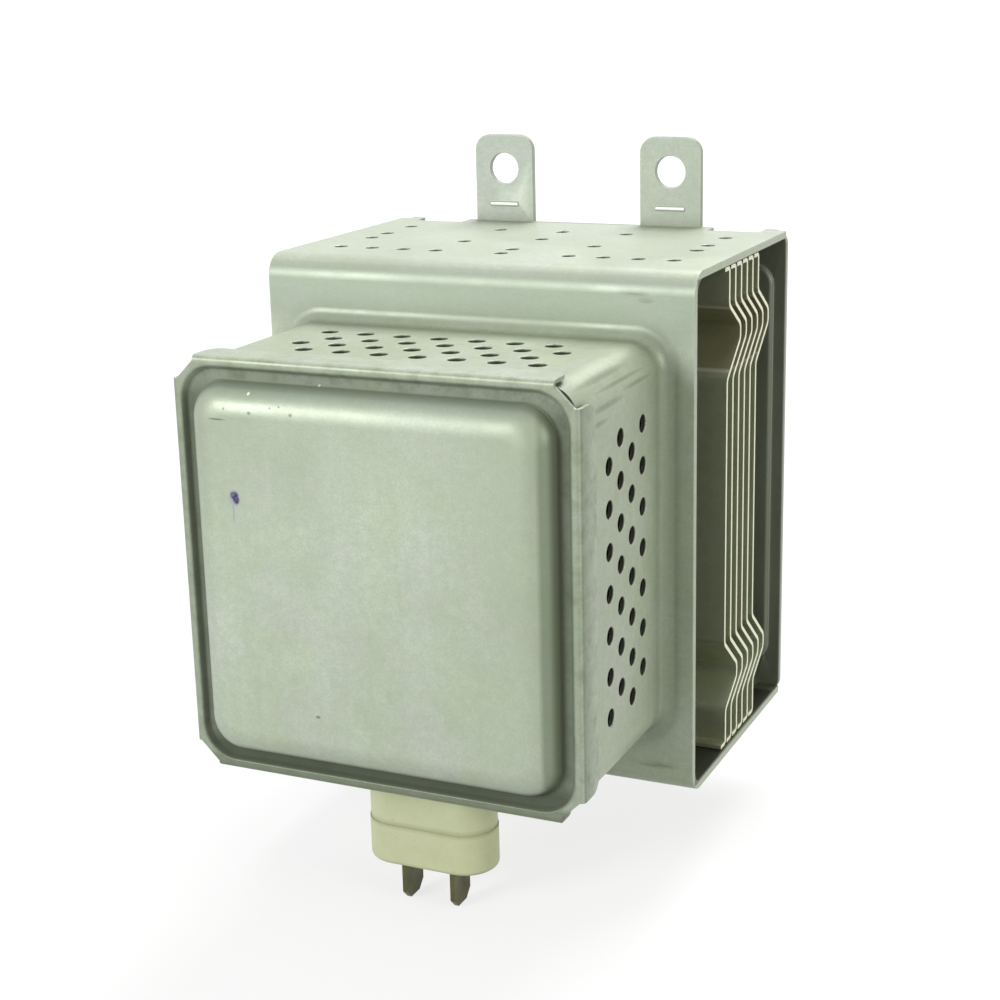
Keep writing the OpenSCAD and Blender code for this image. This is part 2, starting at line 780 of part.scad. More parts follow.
// Half a funnel section: flange at the anode's end, hole at the vanes
module pole_section(end_y, way) {
  inward = function(r, depth) [r, end_y + way * depth];
  seat = sleeve_wall;
  reach = abs(end_y - anode_mid_y) - vane_h / 2 - pole_gap;
  rim_r = anode_inner_r - fit;
  slope_r = 13;
  nose_r = 8;
  polygon([
    inward(rim_r, seat),
    inward(slope_r, seat),
    inward(nose_r, reach - pole_t),
    inward(pole_hole_r, reach - pole_t),
    inward(pole_hole_r, reach),
    inward(nose_r, reach),
    inward(slope_r, seat + pole_t),
    inward(rim_r, seat + pole_t)
  ]);
}

module input_pole_piece() {
  color(dark_metal) turned() pole_section(anode_front_y, 1);
}

module output_pole_piece() {
  color(dark_metal) difference() {
    turned() pole_section(anode_back_y, -1);
    rod_y(antenna_lead_d / 2 + 0.6, vane_back_y, anode_back_y, z = antenna_lead_r);
  }
}

// Cathode

module filament() {
  wire_r = filament_wire_d / 2;
  low = hat_front_y + wire_r + fit;
  high = hat_back_y - wire_r - fit;
  steps = 14 * filament_turns;
  route = [for (i = [0:steps])
    let (turn = 360 * filament_turns * i / steps)
    [filament_r * cos(turn), low + (high - low) * i / steps, filament_r * sin(turn)]];
  color(dark_metal) wire(route, wire_r, [0, 1, 0], 6);
}

module input_end_hat() {
  hat_r = end_hat_d / 2;
  color(dark_metal) difference() {
    rod_y(hat_r, hat_front_y - end_hat_t, hat_front_y);
    rod_y(lead_r + 0.5, hat_front_y - past, hat_front_y + past);
  }
}

module output_end_hat() {
  color(dark_metal) difference() {
    rod_y(end_hat_d / 2, hat_back_y, hat_back_y + end_hat_t);
    rod_y(lead_r, hat_back_y - join, hat_back_y + past);
  }
}

module centre_lead() {
  color(dark_metal) rod_y(lead_r, stem_front_y, hat_back_y + end_hat_t);
}

module side_lead() {
  color(dark_metal) rod_y(lead_r, stem_front_y, hat_front_y - end_hat_t, x = -side_lead_x);
}

module input_seal_sleeve() {
  flange_y = anode_front_y + sleeve_wall;
  rim_r = anode_inner_r - fit;
  shoulder = 3;
  color(bright_steel) turned() polygon([
    [rim_r, flange_y],
    [sleeve_mouth_r - sleeve_wall, flange_y],
    [neck_inner_r, anode_front_y - shoulder],
    [neck_inner_r, stem_back_y + sleeve_wall],
    [sleeve_lip_r, stem_back_y + sleeve_wall],
    [sleeve_lip_r, stem_back_y],
    [neck_r, stem_back_y],
    [neck_r, anode_front_y - shoulder],
    [sleeve_mouth_r, anode_front_y],
    [rim_r, anode_front_y]
  ]);
}

module stem_ceramic() {
  color(ceramic) difference() {
    rod_y(stem_d / 2, stem_front_y, stem_back_y);
    for (x = [0, -side_lead_x]) rod_y(lead_r, stem_front_y - join, stem_back_y + join, x = x);
  }
}

// Two strips on the ceramic's end: a foot over the lead and a blade towards the choke
module stem_terminals() {
  foot_y = stem_front_y - stem_terminal_t;
  half_w = stem_terminal_w / 2;
  lead_end = [lead_r + 0.2, -(side_lead_x - lead_r - 0.2)];
  color(bright_steel) for (k = [0, 1]) {
    side = k == 0 ? 1 : -1;
    inner = k == 0 ? -lead_end[0] : lead_end[1];
    low_x = min(inner, side * stem_terminal_x);
    high_x = max(inner, side * stem_terminal_x);
    translate([low_x, foot_y, -half_w]) cube([high_x - low_x, stem_terminal_t, stem_terminal_w]);
    translate([side > 0 ? high_x - stem_terminal_t : low_x, stem_front_y - stem_terminal_l, -half_w])
      cube([stem_terminal_t, stem_terminal_l, stem_terminal_w]);
  }
}

// Antenna

module output_seal_sleeve() {
  flange_y = anode_back_y - sleeve_wall;
  rim_r = anode_inner_r - fit;
  shoulder = 3;
  color(bright_steel) turned() polygon([
    [rim_r, anode_back_y],
    [sleeve_mouth_r, anode_back_y],
    [neck_r, anode_back_y + shoulder],
    [neck_r, output_neck_y],
    [sleeve_lip_r, output_neck_y],
    [sleeve_lip_r, output_neck_y - sleeve_wall],
    [neck_inner_r, output_neck_y - sleeve_wall],
    [neck_inner_r, anode_back_y + shoulder],
    [sleeve_mouth_r - sleeve_wall, flange_y],
    [rim_r, flange_y]
  ]);
}

module antenna_ceramic() {
  outer = antenna_ceramic_d / 2;
  color(ceramic) turned() translate([outer - antenna_ceramic_wall, output_neck_y])
    square([antenna_ceramic_wall, antenna_ceramic_l]);
}

// A bent rod from a vane to the pinched exhaust tube
module antenna_lead() {
  r = antenna_lead_d / 2;
  bend = [0, anode_back_y - 2, antenna_lead_r];
  crown = [0, output_neck_y - 4, 0];
  lean = atan2(bend[2] - crown[2], crown[1] - bend[1]);
  color(copper) union() {
    rod_y(r, vane_back_y, bend[1], z = antenna_lead_r);
    translate(bend) sphere(1.1 * r);
    translate(bend) rotate([-90 - lean, 0, 0]) cylinder(r = r, h = norm(crown - bend));
    translate(crown) sphere(1.1 * r);
    rod_y(r, crown[1], cap_y + exhaust_l / 2);
  }
}

module exhaust_tube() {
  outer = exhaust_d / 2;
  wall = outer - antenna_lead_d / 2 - fit;
  disc_r = antenna_ceramic_d / 2 - 0.4;
  pinch = exhaust_l / 3;
  color(copper) union() {
    turned() translate([outer - wall, antenna_ceramic_y]) square([disc_r - outer + wall, exhaust_disc_t]);
    turned() translate([outer - wall, cap_y - join]) square([wall, exhaust_l - pinch + join]);
    rod_y(outer, cap_y + exhaust_l / 2, cap_y + exhaust_l - pinch);
    bar(1.6 * outer) polygon([
      [cap_y + exhaust_l - pinch - join, -outer * 0.55],
      [cap_y + exhaust_l, -0.4],
      [cap_y + exhaust_l, 0.4],
      [cap_y + exhaust_l - pinch - join, outer * 0.55]
    ]);
  }
}

module antenna_cap() {
  outer = antenna_cap_d / 2;
  inner_edge_r = antenna_cap_r - antenna_cap_wall;
  end_y = cap_y + antenna_cap_l;
  color(bright_steel) turned() difference() {
    union() {
      translate([0, cap_y]) square([outer, antenna_cap_l - antenna_cap_r]);
      translate([0, cap_y]) square([outer - antenna_cap_r, antenna_cap_l]);
      intersection() {
        translate([outer - antenna_cap_r, end_y - antenna_cap_r]) circle(antenna_cap_r);
        square(past);
      }
    }
    translate([-join, cap_y - join])
      square([outer - antenna_cap_wall + join, antenna_cap_l - antenna_cap_r + join]);
    translate([-join, cap_y]) square([outer - antenna_cap_r + join, antenna_cap_l - antenna_cap_wall]);
    translate([outer - antenna_cap_r, end_y - antenna_cap_r]) circle(inner_edge_r);
  }
}

module rf_gasket() {
  inner = neck_r + join;
  half_h = (gasket_rise + emboss_rise) / 2;
  edge_r = min(half_h, (gasket_od / 2 - inner) / 2) * 0.9;
  color(bright_steel) turned()
    translate([(inner + gasket_od / 2) / 2, gasket_rise - half_h])
      round_rect(gasket_od / 2 - inner, 2 * half_h, edge_r);
}

// Chokes

module choke_core(side) {
  color(ferrite) translate([side * choke_x, choke_y, choke_low_z - core_over])
    cylinder(d = core_d, h = choke_high_z - choke_low_z + 2 * core_over);
}

module choke_coil(side) {
  steps = round(14 * choke_turns);
  upper_end = [stem_terminal_x + fit, choke_y + choke_r, choke_high_z];
  lower_end = [tab_spacing / 2 - conductor_r, choke_y - choke_r, choke_low_z];
  winding = [for (i = [0:steps])
    let (turn = 90 - 360 * choke_turns * i / steps)
    [choke_x + choke_r * cos(turn), choke_y + choke_r * sin(turn),
      choke_high_z + (choke_low_z - choke_high_z) * i / steps]];
  color(enamel) mirror([side < 0 ? 1 : 0, 0, 0])
    wire(concat([upper_end], winding, [lower_end]), choke_wire_r, [0, 0, 1], 6);
}

// Feedthrough capacitor

module at_capacitor(z) {
  translate([0, case_mid_y, z]) children();
}

module conductor_bores() {
  for (side = [-1, 1]) translate([side * tab_spacing / 2, case_mid_y, -past / 2])
    cylinder(r = conductor_r, h = past);
}

// Half the section of a block whose lower edge is rounded
module soft_section(half, height, r) {
  translate([0, r]) square([half, height - r]);
  square([half - r, height]);
  intersection() {
    translate([half - r, r]) circle(r);
    square([half, height]);
  }
}

// An upright oval block whose lower edge is rounded
module soft_oval(length, depth, height, r) {
  run = length - depth;
  for (side = [-1, 1]) translate([side * run / 2, 0, 0]) rotate_extrude() soft_section(depth / 2, height, r);
  bar(run) {
    soft_section(depth / 2, height, r);
    mirror([1, 0]) soft_section(depth / 2, height, r);
  }
}

module capacitor_outer_case() {
  color(cream) difference() {
    union() {
      at_capacitor(case_bottom_z) soft_oval(case_l, case_d, case_foot_h, case_edge_r);
      at_capacitor(case_bottom_z + case_edge_r)
        linear_extrude(earth_plate_z - case_bottom_z - case_edge_r) oval(neck_l, neck_depth);
    }
    conductor_bores();
  }
}

module capacitor_inner_case() {
  color(cream) difference() {
    at_capacitor(earth_plate_z) linear_extrude(inner_case_h) oval(case_l, case_d);
    conductor_bores();
  }
}

module capacitor_earth_plate() {
  margin = 2 * earth_plate_margin;
  color(bright_steel) difference() {
    at_capacitor(box_inner_floor_z) linear_extrude(earth_plate_t) difference() {
      oval(case_l + margin, case_d + margin);
      oval(neck_l + 2 * fit, neck_depth + 2 * fit);
    }
    rivet_holes();
  }
}

module capacitor_rivets() {
  head_r = rivet_head_d / 2;
  shank_r = rivet_d / 2;
  color(bright_steel) for (side = [-1, 1]) translate([side * rivet_x, case_mid_y, 0]) rotate_extrude()
    polygon([
      [0, box_floor_z - rivet_head_h],
      [head_r * 0.7, box_floor_z - rivet_head_h],
      [head_r, box_floor_z - rivet_head_h * 0.4],
      [head_r, box_floor_z],
      [shank_r, box_floor_z],
      [shank_r, earth_plate_z],
      [head_r, earth_plate_z],
      [head_r, earth_plate_z + rivet_head_h * 0.4],
      [head_r * 0.7, earth_plate_z + rivet_head_h],
      [0, earth_plate_z + rivet_head_h]
    ]);
}

module feedthrough(side) {
  half = tab_w / 2;
  tip = case_bottom_z - tab_l;
  color(bright_steel) translate([side * tab_spacing / 2, case_mid_y, 0]) union() {
    translate([0, 0, case_bottom_z - join])
      cylinder(r = conductor_r, h = conductor_top_z - case_bottom_z + join);
    bar(tab_t) polygon([
      [-half, case_bottom_z],
      [-half, tip + tab_chamfer],
      [-half + tab_chamfer, tip],
      [half - tab_chamfer, tip],
      [half, tip + tab_chamfer],
      [half, case_bottom_z]
    ]);
  }
}

yoke_case();
input_yoke_plate();
mounting_plate();
filter_cover();
input_magnet();
output_magnet();
for (i = [1:fin_count]) cooling_fin(i);
anode_cylinder();
anode_vanes();
strap_rings();
input_pole_piece();
output_pole_piece();
filament();
input_end_hat();
output_end_hat();
centre_lead();
side_lead();
input_seal_sleeve();
stem_ceramic();
stem_terminals();
output_seal_sleeve();
antenna_ceramic();
antenna_lead();
exhaust_tube();
antenna_cap();
rf_gasket();
choke_core(-1);  // choke_core_left
choke_core(1);  // choke_core_right
choke_coil(-1);  // choke_coil_left
choke_coil(1);  // choke_coil_right
capacitor_outer_case();
capacitor_inner_case();
capacitor_earth_plate();
capacitor_rivets();
feedthrough(-1);  // feedthrough_left
feedthrough(1);  // feedthrough_right
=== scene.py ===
import json
import math

import bmesh
import bpy
from mathutils import Matrix, Vector
from mathutils.geometry import interpolate_bezier


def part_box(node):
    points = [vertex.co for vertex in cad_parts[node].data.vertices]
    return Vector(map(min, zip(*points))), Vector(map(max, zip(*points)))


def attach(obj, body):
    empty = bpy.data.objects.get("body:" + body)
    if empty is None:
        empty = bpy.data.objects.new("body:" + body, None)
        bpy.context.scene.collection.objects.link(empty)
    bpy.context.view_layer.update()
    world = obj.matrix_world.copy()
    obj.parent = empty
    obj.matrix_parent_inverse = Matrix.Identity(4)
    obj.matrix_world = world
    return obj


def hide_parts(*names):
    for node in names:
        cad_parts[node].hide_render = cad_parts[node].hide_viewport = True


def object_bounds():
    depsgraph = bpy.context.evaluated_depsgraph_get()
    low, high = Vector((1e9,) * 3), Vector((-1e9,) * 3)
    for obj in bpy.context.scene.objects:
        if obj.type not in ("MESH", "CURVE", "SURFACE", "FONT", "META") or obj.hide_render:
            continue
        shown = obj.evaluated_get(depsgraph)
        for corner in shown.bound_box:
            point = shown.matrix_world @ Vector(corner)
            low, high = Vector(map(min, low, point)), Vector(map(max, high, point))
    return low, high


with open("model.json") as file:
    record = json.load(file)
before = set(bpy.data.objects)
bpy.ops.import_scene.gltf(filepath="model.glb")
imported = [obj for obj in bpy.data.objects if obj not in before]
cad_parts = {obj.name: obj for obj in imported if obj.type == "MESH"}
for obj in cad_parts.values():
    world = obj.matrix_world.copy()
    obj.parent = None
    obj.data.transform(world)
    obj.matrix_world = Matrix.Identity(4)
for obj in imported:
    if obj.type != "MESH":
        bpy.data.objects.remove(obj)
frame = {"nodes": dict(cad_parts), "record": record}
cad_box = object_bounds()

MM = 0.001
X = 0
Y = 1
Z = 2
BODY = "root"
WHITE = (1.0, 1.0, 1.0, 1.0)


# Camera, at the photograph's viewing angle

CAMERA_LENS = 67.4716
CAMERA_PLACE = Vector((136.27, -339.669, 93.158)) * MM
CAMERA_RIGHT = Vector((0.91049, 0.41286, -0.02338))
CAMERA_UP = Vector((-0.09159, 0.25646, 0.96221))
CAMERA_BACK = Vector((0.40325, -0.87394, 0.27132))


def add_camera():
    data = bpy.data.cameras.new("studio_camera")
    data.sensor_width = 36.0
    data.lens = CAMERA_LENS
    data.clip_start = 0.01
    data.clip_end = 100.0
    camera = bpy.data.objects.new("studio_camera", data)
    turn = Matrix((CAMERA_RIGHT, CAMERA_UP, CAMERA_BACK)).transposed().to_4x4()
    camera.matrix_world = Matrix.Translation(CAMERA_PLACE) @ turn
    bpy.context.scene.collection.objects.link(camera)
    bpy.context.scene.camera = camera


# Node helpers for the materials, with places and sizes in mm

class Finish:
    """A material's node tree, with short calls for the nodes that the finishes share."""

    def __init__(self, name):
        self.material = bpy.data.materials.new(name)
        self.material.use_nodes = True
        self.tree = self.material.node_tree
        self.surface = self.tree.nodes["Principled BSDF"]
        self.place = self.tree.nodes.new("ShaderNodeTexCoord").outputs["Object"]
        self.axes = {}

    def node(self, kind, **settings):
        made = self.tree.nodes.new(kind)
        for key, value in settings.items():
            setattr(made, key, value)
        return made

    def feed(self, socket, value):
        if isinstance(value, bpy.types.NodeSocket):
            self.tree.links.new(value, socket)
        else:
            socket.default_value = value

    def set(self, **sockets):
        for key, value in sockets.items():
            self.feed(self.surface.inputs[key.replace("_", " ")], value)

    def stretch(self, scale):
        """The place with its axes scaled, for a pattern with a grain."""
        mapping = self.node("ShaderNodeMapping")
        self.feed(mapping.inputs["Vector"], self.place)
        mapping.inputs["Scale"].default_value = scale
        return mapping.outputs["Vector"]

    def noise(self, scale, detail=3.0, roughness=0.5, place=None, warp=0.0):
        made = self.node("ShaderNodeTexNoise")
        self.feed(made.inputs["Vector"], place or self.place)
        made.inputs["Scale"].default_value = scale
        made.inputs["Detail"].default_value = detail
        made.inputs["Roughness"].default_value = roughness
        made.inputs["Distortion"].default_value = warp
        return made.outputs["Fac"]

    def crystals(self, scale):
        """A grey of its own for each crystal of a coating."""
        made = self.node("ShaderNodeTexVoronoi")
        self.feed(made.inputs["Vector"], self.place)
        made.inputs["Scale"].default_value = scale
        grey = self.node("ShaderNodeRGBToBW")
        self.feed(grey.inputs[0], made.outputs["Color"])
        return grey.outputs[0]

    def level(self, value, start, stop, low=0.0, high=1.0):
        """Runs from low to high while the value runs from start to stop."""
        made = self.node("ShaderNodeMapRange")
        self.feed(made.inputs["Value"], value)
        made.inputs["From Min"].default_value = start
        made.inputs["From Max"].default_value = stop
        made.inputs["To Min"].default_value = low
        made.inputs["To Max"].default_value = high
        return made.outputs["Result"]

    def calc(self, operation, first, second=0.0):
        made = self.node("ShaderNodeMath", operation=operation)
        self.feed(made.inputs[0], first)
        self.feed(made.inputs[1], second)
        return made.outputs[0]

    def both(self, first, *others):
        """Masks and shares multiplied together."""
        for other in others:
            first = self.calc("MULTIPLY", first, other)
        return first

    def mix(self, share, first, second):
        made = self.node("ShaderNodeMix", data_type="RGBA")
        self.feed(made.inputs["Factor"], share)
        self.feed(made.inputs[6], first)
        self.feed(made.inputs[7], second)
        return made.outputs[2]

    def axis(self, index):
        """The place along an axis."""
        if index not in self.axes:
            made = self.node("ShaderNodeSeparateXYZ")
            self.feed(made.inputs[0], self.place)
            self.axes[index] = self.calc("DIVIDE", made.outputs[index], MM)
        return self.axes[index]

    def along(self, index, start, stop, low=0.0, high=1.0):
        """Runs from low to high between two places on an axis."""
        return self.level(self.axis(index), start, stop, low, high)

    def turned(self, index, start, stop, low=0.0, high=1.0):
        """Runs from low to high as the surface turns towards an axis, from -1 to 1."""
        made = self.node("ShaderNodeSeparateXYZ")
        self.feed(made.inputs[0], self.node("ShaderNodeNewGeometry").outputs["Normal"])
        return self.level(made.outputs[index], start, stop, low, high)

    def spot(self, centre, size, soft, across):
        """1 inside an upright oval round a point of the X-Z plane, or the Y-Z plane, 0 outside."""
        squares = []
        for index, middle, half in zip((across, Z), centre, size):
            share = self.calc("DIVIDE", self.calc("SUBTRACT", self.axis(index), middle), half)
            squares.append(self.both(share, share))
        return self.level(self.calc("ADD", *squares), 1.0, 1.0 - soft)

    def spots(self, rows, soft=0.8, across=X):
        """The spots of several rows, each a centre and a size, as one mask."""
        found = self.spot(*rows[0], soft, across)
        for centre, size in rows[1:]:
            found = self.calc("MAXIMUM", found, self.spot(centre, size, soft, across))
        return found

    def reach(self, half, radius):
        """Distance outwards from an upright rounded square of the X-Z plane, below 0 inside it."""
        parts = []
        for index in (X, Z):
            size = self.calc("ABSOLUTE", self.axis(index))
            parts.append(self.calc("SUBTRACT", size, half - radius))
        over = [self.calc("MAXIMUM", part, 0.0) for part in parts]
        squares = [self.both(part, part) for part in over]
        corner = self.calc("SQRT", self.calc("ADD", *squares))
        side = self.calc("MINIMUM", self.calc("MAXIMUM", *parts), 0.0)
        return self.calc("SUBTRACT", self.calc("ADD", corner, side), radius)

    def crevice(self, distance):
        """1 in tight corners, 0 in the open."""
        made = self.node("ShaderNodeAmbientOcclusion", samples=4)
        made.inputs["Distance"].default_value = distance * MM
        return self.level(made.outputs["AO"], 0.9, 0.45)

    def worn_edge(self, radius):
        """1 along edges, 0 on flat faces."""
        soft = self.node("ShaderNodeBevel", samples=4)
        soft.inputs["Radius"].default_value = radius * MM
        plain = self.node("ShaderNodeNewGeometry")
        dot = self.node("ShaderNodeVectorMath", operation="DOT_PRODUCT")
        self.feed(dot.inputs[0], soft.outputs["Normal"])
        self.feed(dot.inputs[1], plain.outputs["Normal"])
        return self.level(dot.outputs["Value"], 0.995, 0.86)

    def bump(self, height, depth, strength):
        made = self.node("ShaderNodeBump")
        made.inputs["Strength"].default_value = strength
        made.inputs["Distance"].default_value = depth * MM
        self.feed(made.inputs["Height"], height)
        self.feed(self.surface.inputs["Normal"], made.outputs["Normal"])


def colour(red, green, blue):
    """A colour given as it shows on screen, 0 to 255."""
    linear = []
    for value in (red, green, blue):
        share = value / 255.0
        linear.append(share / 12.92 if share <= 0.04045 else ((share + 0.055) / 1.055) ** 2.4)
    return (*linear, 1.0)


# Zinc-coated sheet

LAVENDER_CAST = colour(194, 192, 198)
GREEN_CAST = colour(184, 198, 152)
WORN_ZINC = colour(226, 232, 220)
ZINC_METAL = 0.3
ZINC_GRAIN_DEPTH = 0.04
WEAR_RADIUS = 0.5


def galvanised(name, base, shade, light):
    """Zinc-coated sheet: spangle, fine grain, faint clouds of colour and rolling streaks."""
    zinc = Finish(name)
    spangle = zinc.crystals(420.0)
    mottle = zinc.noise(700.0, detail=4.0, roughness=0.65)
    fine = zinc.noise(3000.0, detail=2.0, roughness=0.6)
    clouds = zinc.noise(38.0, detail=4.0, roughness=0.6, warp=0.4)
    streaks = zinc.noise(60.0, roughness=0.6, place=zinc.stretch((9.0, 9.0, 0.7)))
    hues = zinc.noise(75.0, roughness=0.55, warp=0.6)
    tone = zinc.mix(zinc.level(clouds, 0.3, 0.72), shade, light)
    tone = zinc.mix(0.4, tone, base)
    tone = zinc.mix(zinc.level(hues, 0.5, 0.75, 0.0, 0.4), tone, LAVENDER_CAST)
    tone = zinc.mix(zinc.level(hues, 0.5, 0.28, 0.0, 0.3), tone, GREEN_CAST)
    tone = zinc.mix(zinc.level(spangle, 0.2, 0.9, 0.0, 0.2), tone, light)
    tone = zinc.mix(zinc.level(mottle, 0.35, 0.75, 0.0, 0.5), tone, shade)
    tone = zinc.mix(zinc.level(fine, 0.35, 0.75, 0.0, 0.6), tone, shade)
    tone = zinc.mix(zinc.level(streaks, 0.45, 0.75, 0.0, 0.18), tone, shade)
    return zinc, tone, mottle, clouds


def finish_galvanised(zinc, tone, mottle, clouds, corner_shade, corners=6.0, dirt_and_shade=0.8, wear=0.3, dull=None):
    """Painted shade in the corners, bright worn edges and the sheet's gloss, which the dull parts lack."""
    # Painted shade: ambient occlusion darkens tight corners to the corner tint.
    tone = zinc.mix(zinc.both(zinc.crevice(corners), dirt_and_shade), tone, corner_shade)
    if wear:
        tone = zinc.mix(zinc.both(zinc.worn_edge(WEAR_RADIUS), wear), tone, WORN_ZINC)
    metal = ZINC_METAL
    rough = zinc.level(clouds, 0.3, 0.7, 0.36, 0.52)
    if dull is not None:
        metal = zinc.level(dull, 0.0, 1.0, ZINC_METAL, 0.0)
        rough = zinc.calc("MAXIMUM", rough, zinc.both(dull, 0.9))
    zinc.set(Base_Color=tone, Metallic=metal, Roughness=rough)
    grain = zinc.calc("ADD", mottle, zinc.noise(2400.0, detail=2.0))
    zinc.bump(grain, ZINC_GRAIN_DEPTH, 0.35)
    return zinc.material


# Yoke case: where its walls lie, and its marks, each a centre and a half size

BOX_HALF = 34.4
BOX_CORNER = 5.1
SHEET_BACK = -52.7
SHEET_BLEND = 0.3
YOKE_ROOM_TOP = 44.35
ROOF_INNER = 45.4
ROOF_FRONT = -49.7
ROOF_REAR = -4.9
ROOF_SIDE = 39.5
# Draw marks on the box's side, in the Y-Z plane
DRAW_MARKS = (
    ((-77.7, 33.1), (12.0, 0.5)),
    ((-72.2, 31.5), (11.4, 0.4)),
    ((-79.0, 29.0), (8.0, 0.7)),
    ((-66.0, 30.0), (7.0, 0.5)),
    ((-83.0, 26.8), (5.0, 0.6)),
)
# Dark marks on the yoke's front, in the X-Z plane
FRONT_DARK_MARKS = (
    ((33.5, -40.8), (4.2, 1.0)),
    ((29.5, 42.0), (3.0, 0.7)),
    ((31.5, 40.9), (1.8, 0.5)),
)


def yoke_finish():
    """The yoke's zinc: draw marks, dark marks on the front, a painted highlight near the top bend, and
    painted shade on the front sheet, round the box's root, on the faces inside the yoke and the drawn box,
    and in the corners.
    """
    sheet = (colour(176, 188, 166), colour(152, 163, 138), colour(194, 204, 188))
    zinc, tone, mottle, clouds = galvanised("galvanised_sheet", *sheet)
    height = zinc.calc("ABSOLUTE", zinc.axis(Z))
    behind = zinc.along(Y, SHEET_BACK - SHEET_BLEND, SHEET_BACK)
    yoke_inside_shade = zinc.both(zinc.level(height, YOKE_ROOM_TOP + 0.15, YOKE_ROOM_TOP), behind)
    # Painted shade on the faces inside the yoke, behind its front sheet.
    tone = zinc.mix(zinc.both(yoke_inside_shade, 0.85), tone, colour(58, 62, 48))

    # Painted shade, nearly black, on the faces inside the drawn box and under the roof.
    from_box = zinc.reach(BOX_HALF, BOX_CORNER)
    ahead = zinc.along(Y, SHEET_BACK, SHEET_BACK - SHEET_BLEND)
    box_inside_shade = zinc.both(zinc.level(from_box, -0.1, -0.3), ahead)
    under_roof_shade = zinc.both(
        zinc.along(Y, ROOF_FRONT - SHEET_BLEND, ROOF_FRONT),
        zinc.along(Y, ROOF_REAR + SHEET_BLEND, ROOF_REAR),
        zinc.level(zinc.calc("ABSOLUTE", zinc.axis(X)), ROOF_SIDE + 0.2, ROOF_SIDE),
        zinc.level(height, ROOF_INNER + 0.2, ROOF_INNER),
    )
    inside_shade = zinc.calc("MAXIMUM", under_roof_shade, box_inside_shade)

    front = zinc.turned(Y, -0.6, -0.9)
    upper_front_shade = zinc.both(front, zinc.along(Z, 30.0, 36.0, 0.0, 0.7))
    # Painted shade on the front-facing faces, stronger towards the top.
    tone = zinc.mix(upper_front_shade, tone, colour(138, 150, 134))
    # Painted highlight on the upward-facing faces near the top bend.
    top = zinc.both(zinc.along(Z, 42.5, 44.0), zinc.turned(Z, 0.3, 0.7, 0.0, 0.13))
    tone = zinc.mix(top, tone, colour(226, 230, 222))
    # Painted shade along the fillet round the box's root, on its right side.
    root = zinc.both(zinc.level(from_box, 0.1, 0.6), zinc.level(from_box, 3.6, 1.4))
    root = zinc.both(root, zinc.along(X, 29.0, 34.0, 0.0, 0.5))
    tone = zinc.mix(root, tone, colour(100, 114, 92))

    draws = zinc.both(zinc.spots(DRAW_MARKS, 1.0, Y), zinc.turned(X, 0.1, 0.4, 0.0, 0.6))
    tone = zinc.mix(draws, tone, colour(112, 124, 100))
    streaks = zinc.noise(100.0, roughness=0.6, place=zinc.stretch((1.5, 1.5, 16.0)))
    ragged = zinc.level(streaks, 0.40, 0.65, 0.1, 0.5)
    # Dark streaky marks on the front sheet.
    tone = zinc.mix(zinc.both(zinc.spots(FRONT_DARK_MARKS, 1.0), front, ragged), tone, colour(70, 74, 62))
    # Painted shade inside the drawn box and under the roof.
    tone = zinc.mix(zinc.both(inside_shade, 0.92), tone, colour(34, 38, 26))
    # The colour passed here is the painted shade of the yoke's corners.
    return finish_galvanised(zinc, tone, mottle, clouds, colour(86, 88, 64))


# Lid: half size and corner radius of its groove and of the panel's foot, and its marks in the X-Z plane

GROOVE_OUTLINE = (34.1, 6.0)
FOOT_OUTLINE = (31.6, 5.6)
INK_DOT = (((-22.8, 13.8), (0.85, 0.80)), ((-22.5, 13.1), (0.70, 0.85)))
INK_DRIP = (((-23.1, 11.0), (0.22, 2.4)), ((-22.8, 13.3), (1.30, 1.70)))
DARK_SPECKS = (
    ((-19.2, 27.5), (0.40, 0.34)),
    ((-11.7, 27.7), (0.40, 0.34)),
    ((-23.9, 27.9), (0.24, 0.24)),
    ((-15.5, 28.5), (0.26, 0.22)),
    ((-13.9, 28.8), (0.24, 0.20)),
    ((-25.3, 26.1), (1.90, 0.18)),
    ((-9.5, -22.2), (0.55, 0.30)),
)
PALE_SPECKS = (((-19.9, 30.3), (0.28, 0.28)), ((-8.7, 31.8), (0.26, 0.26)))


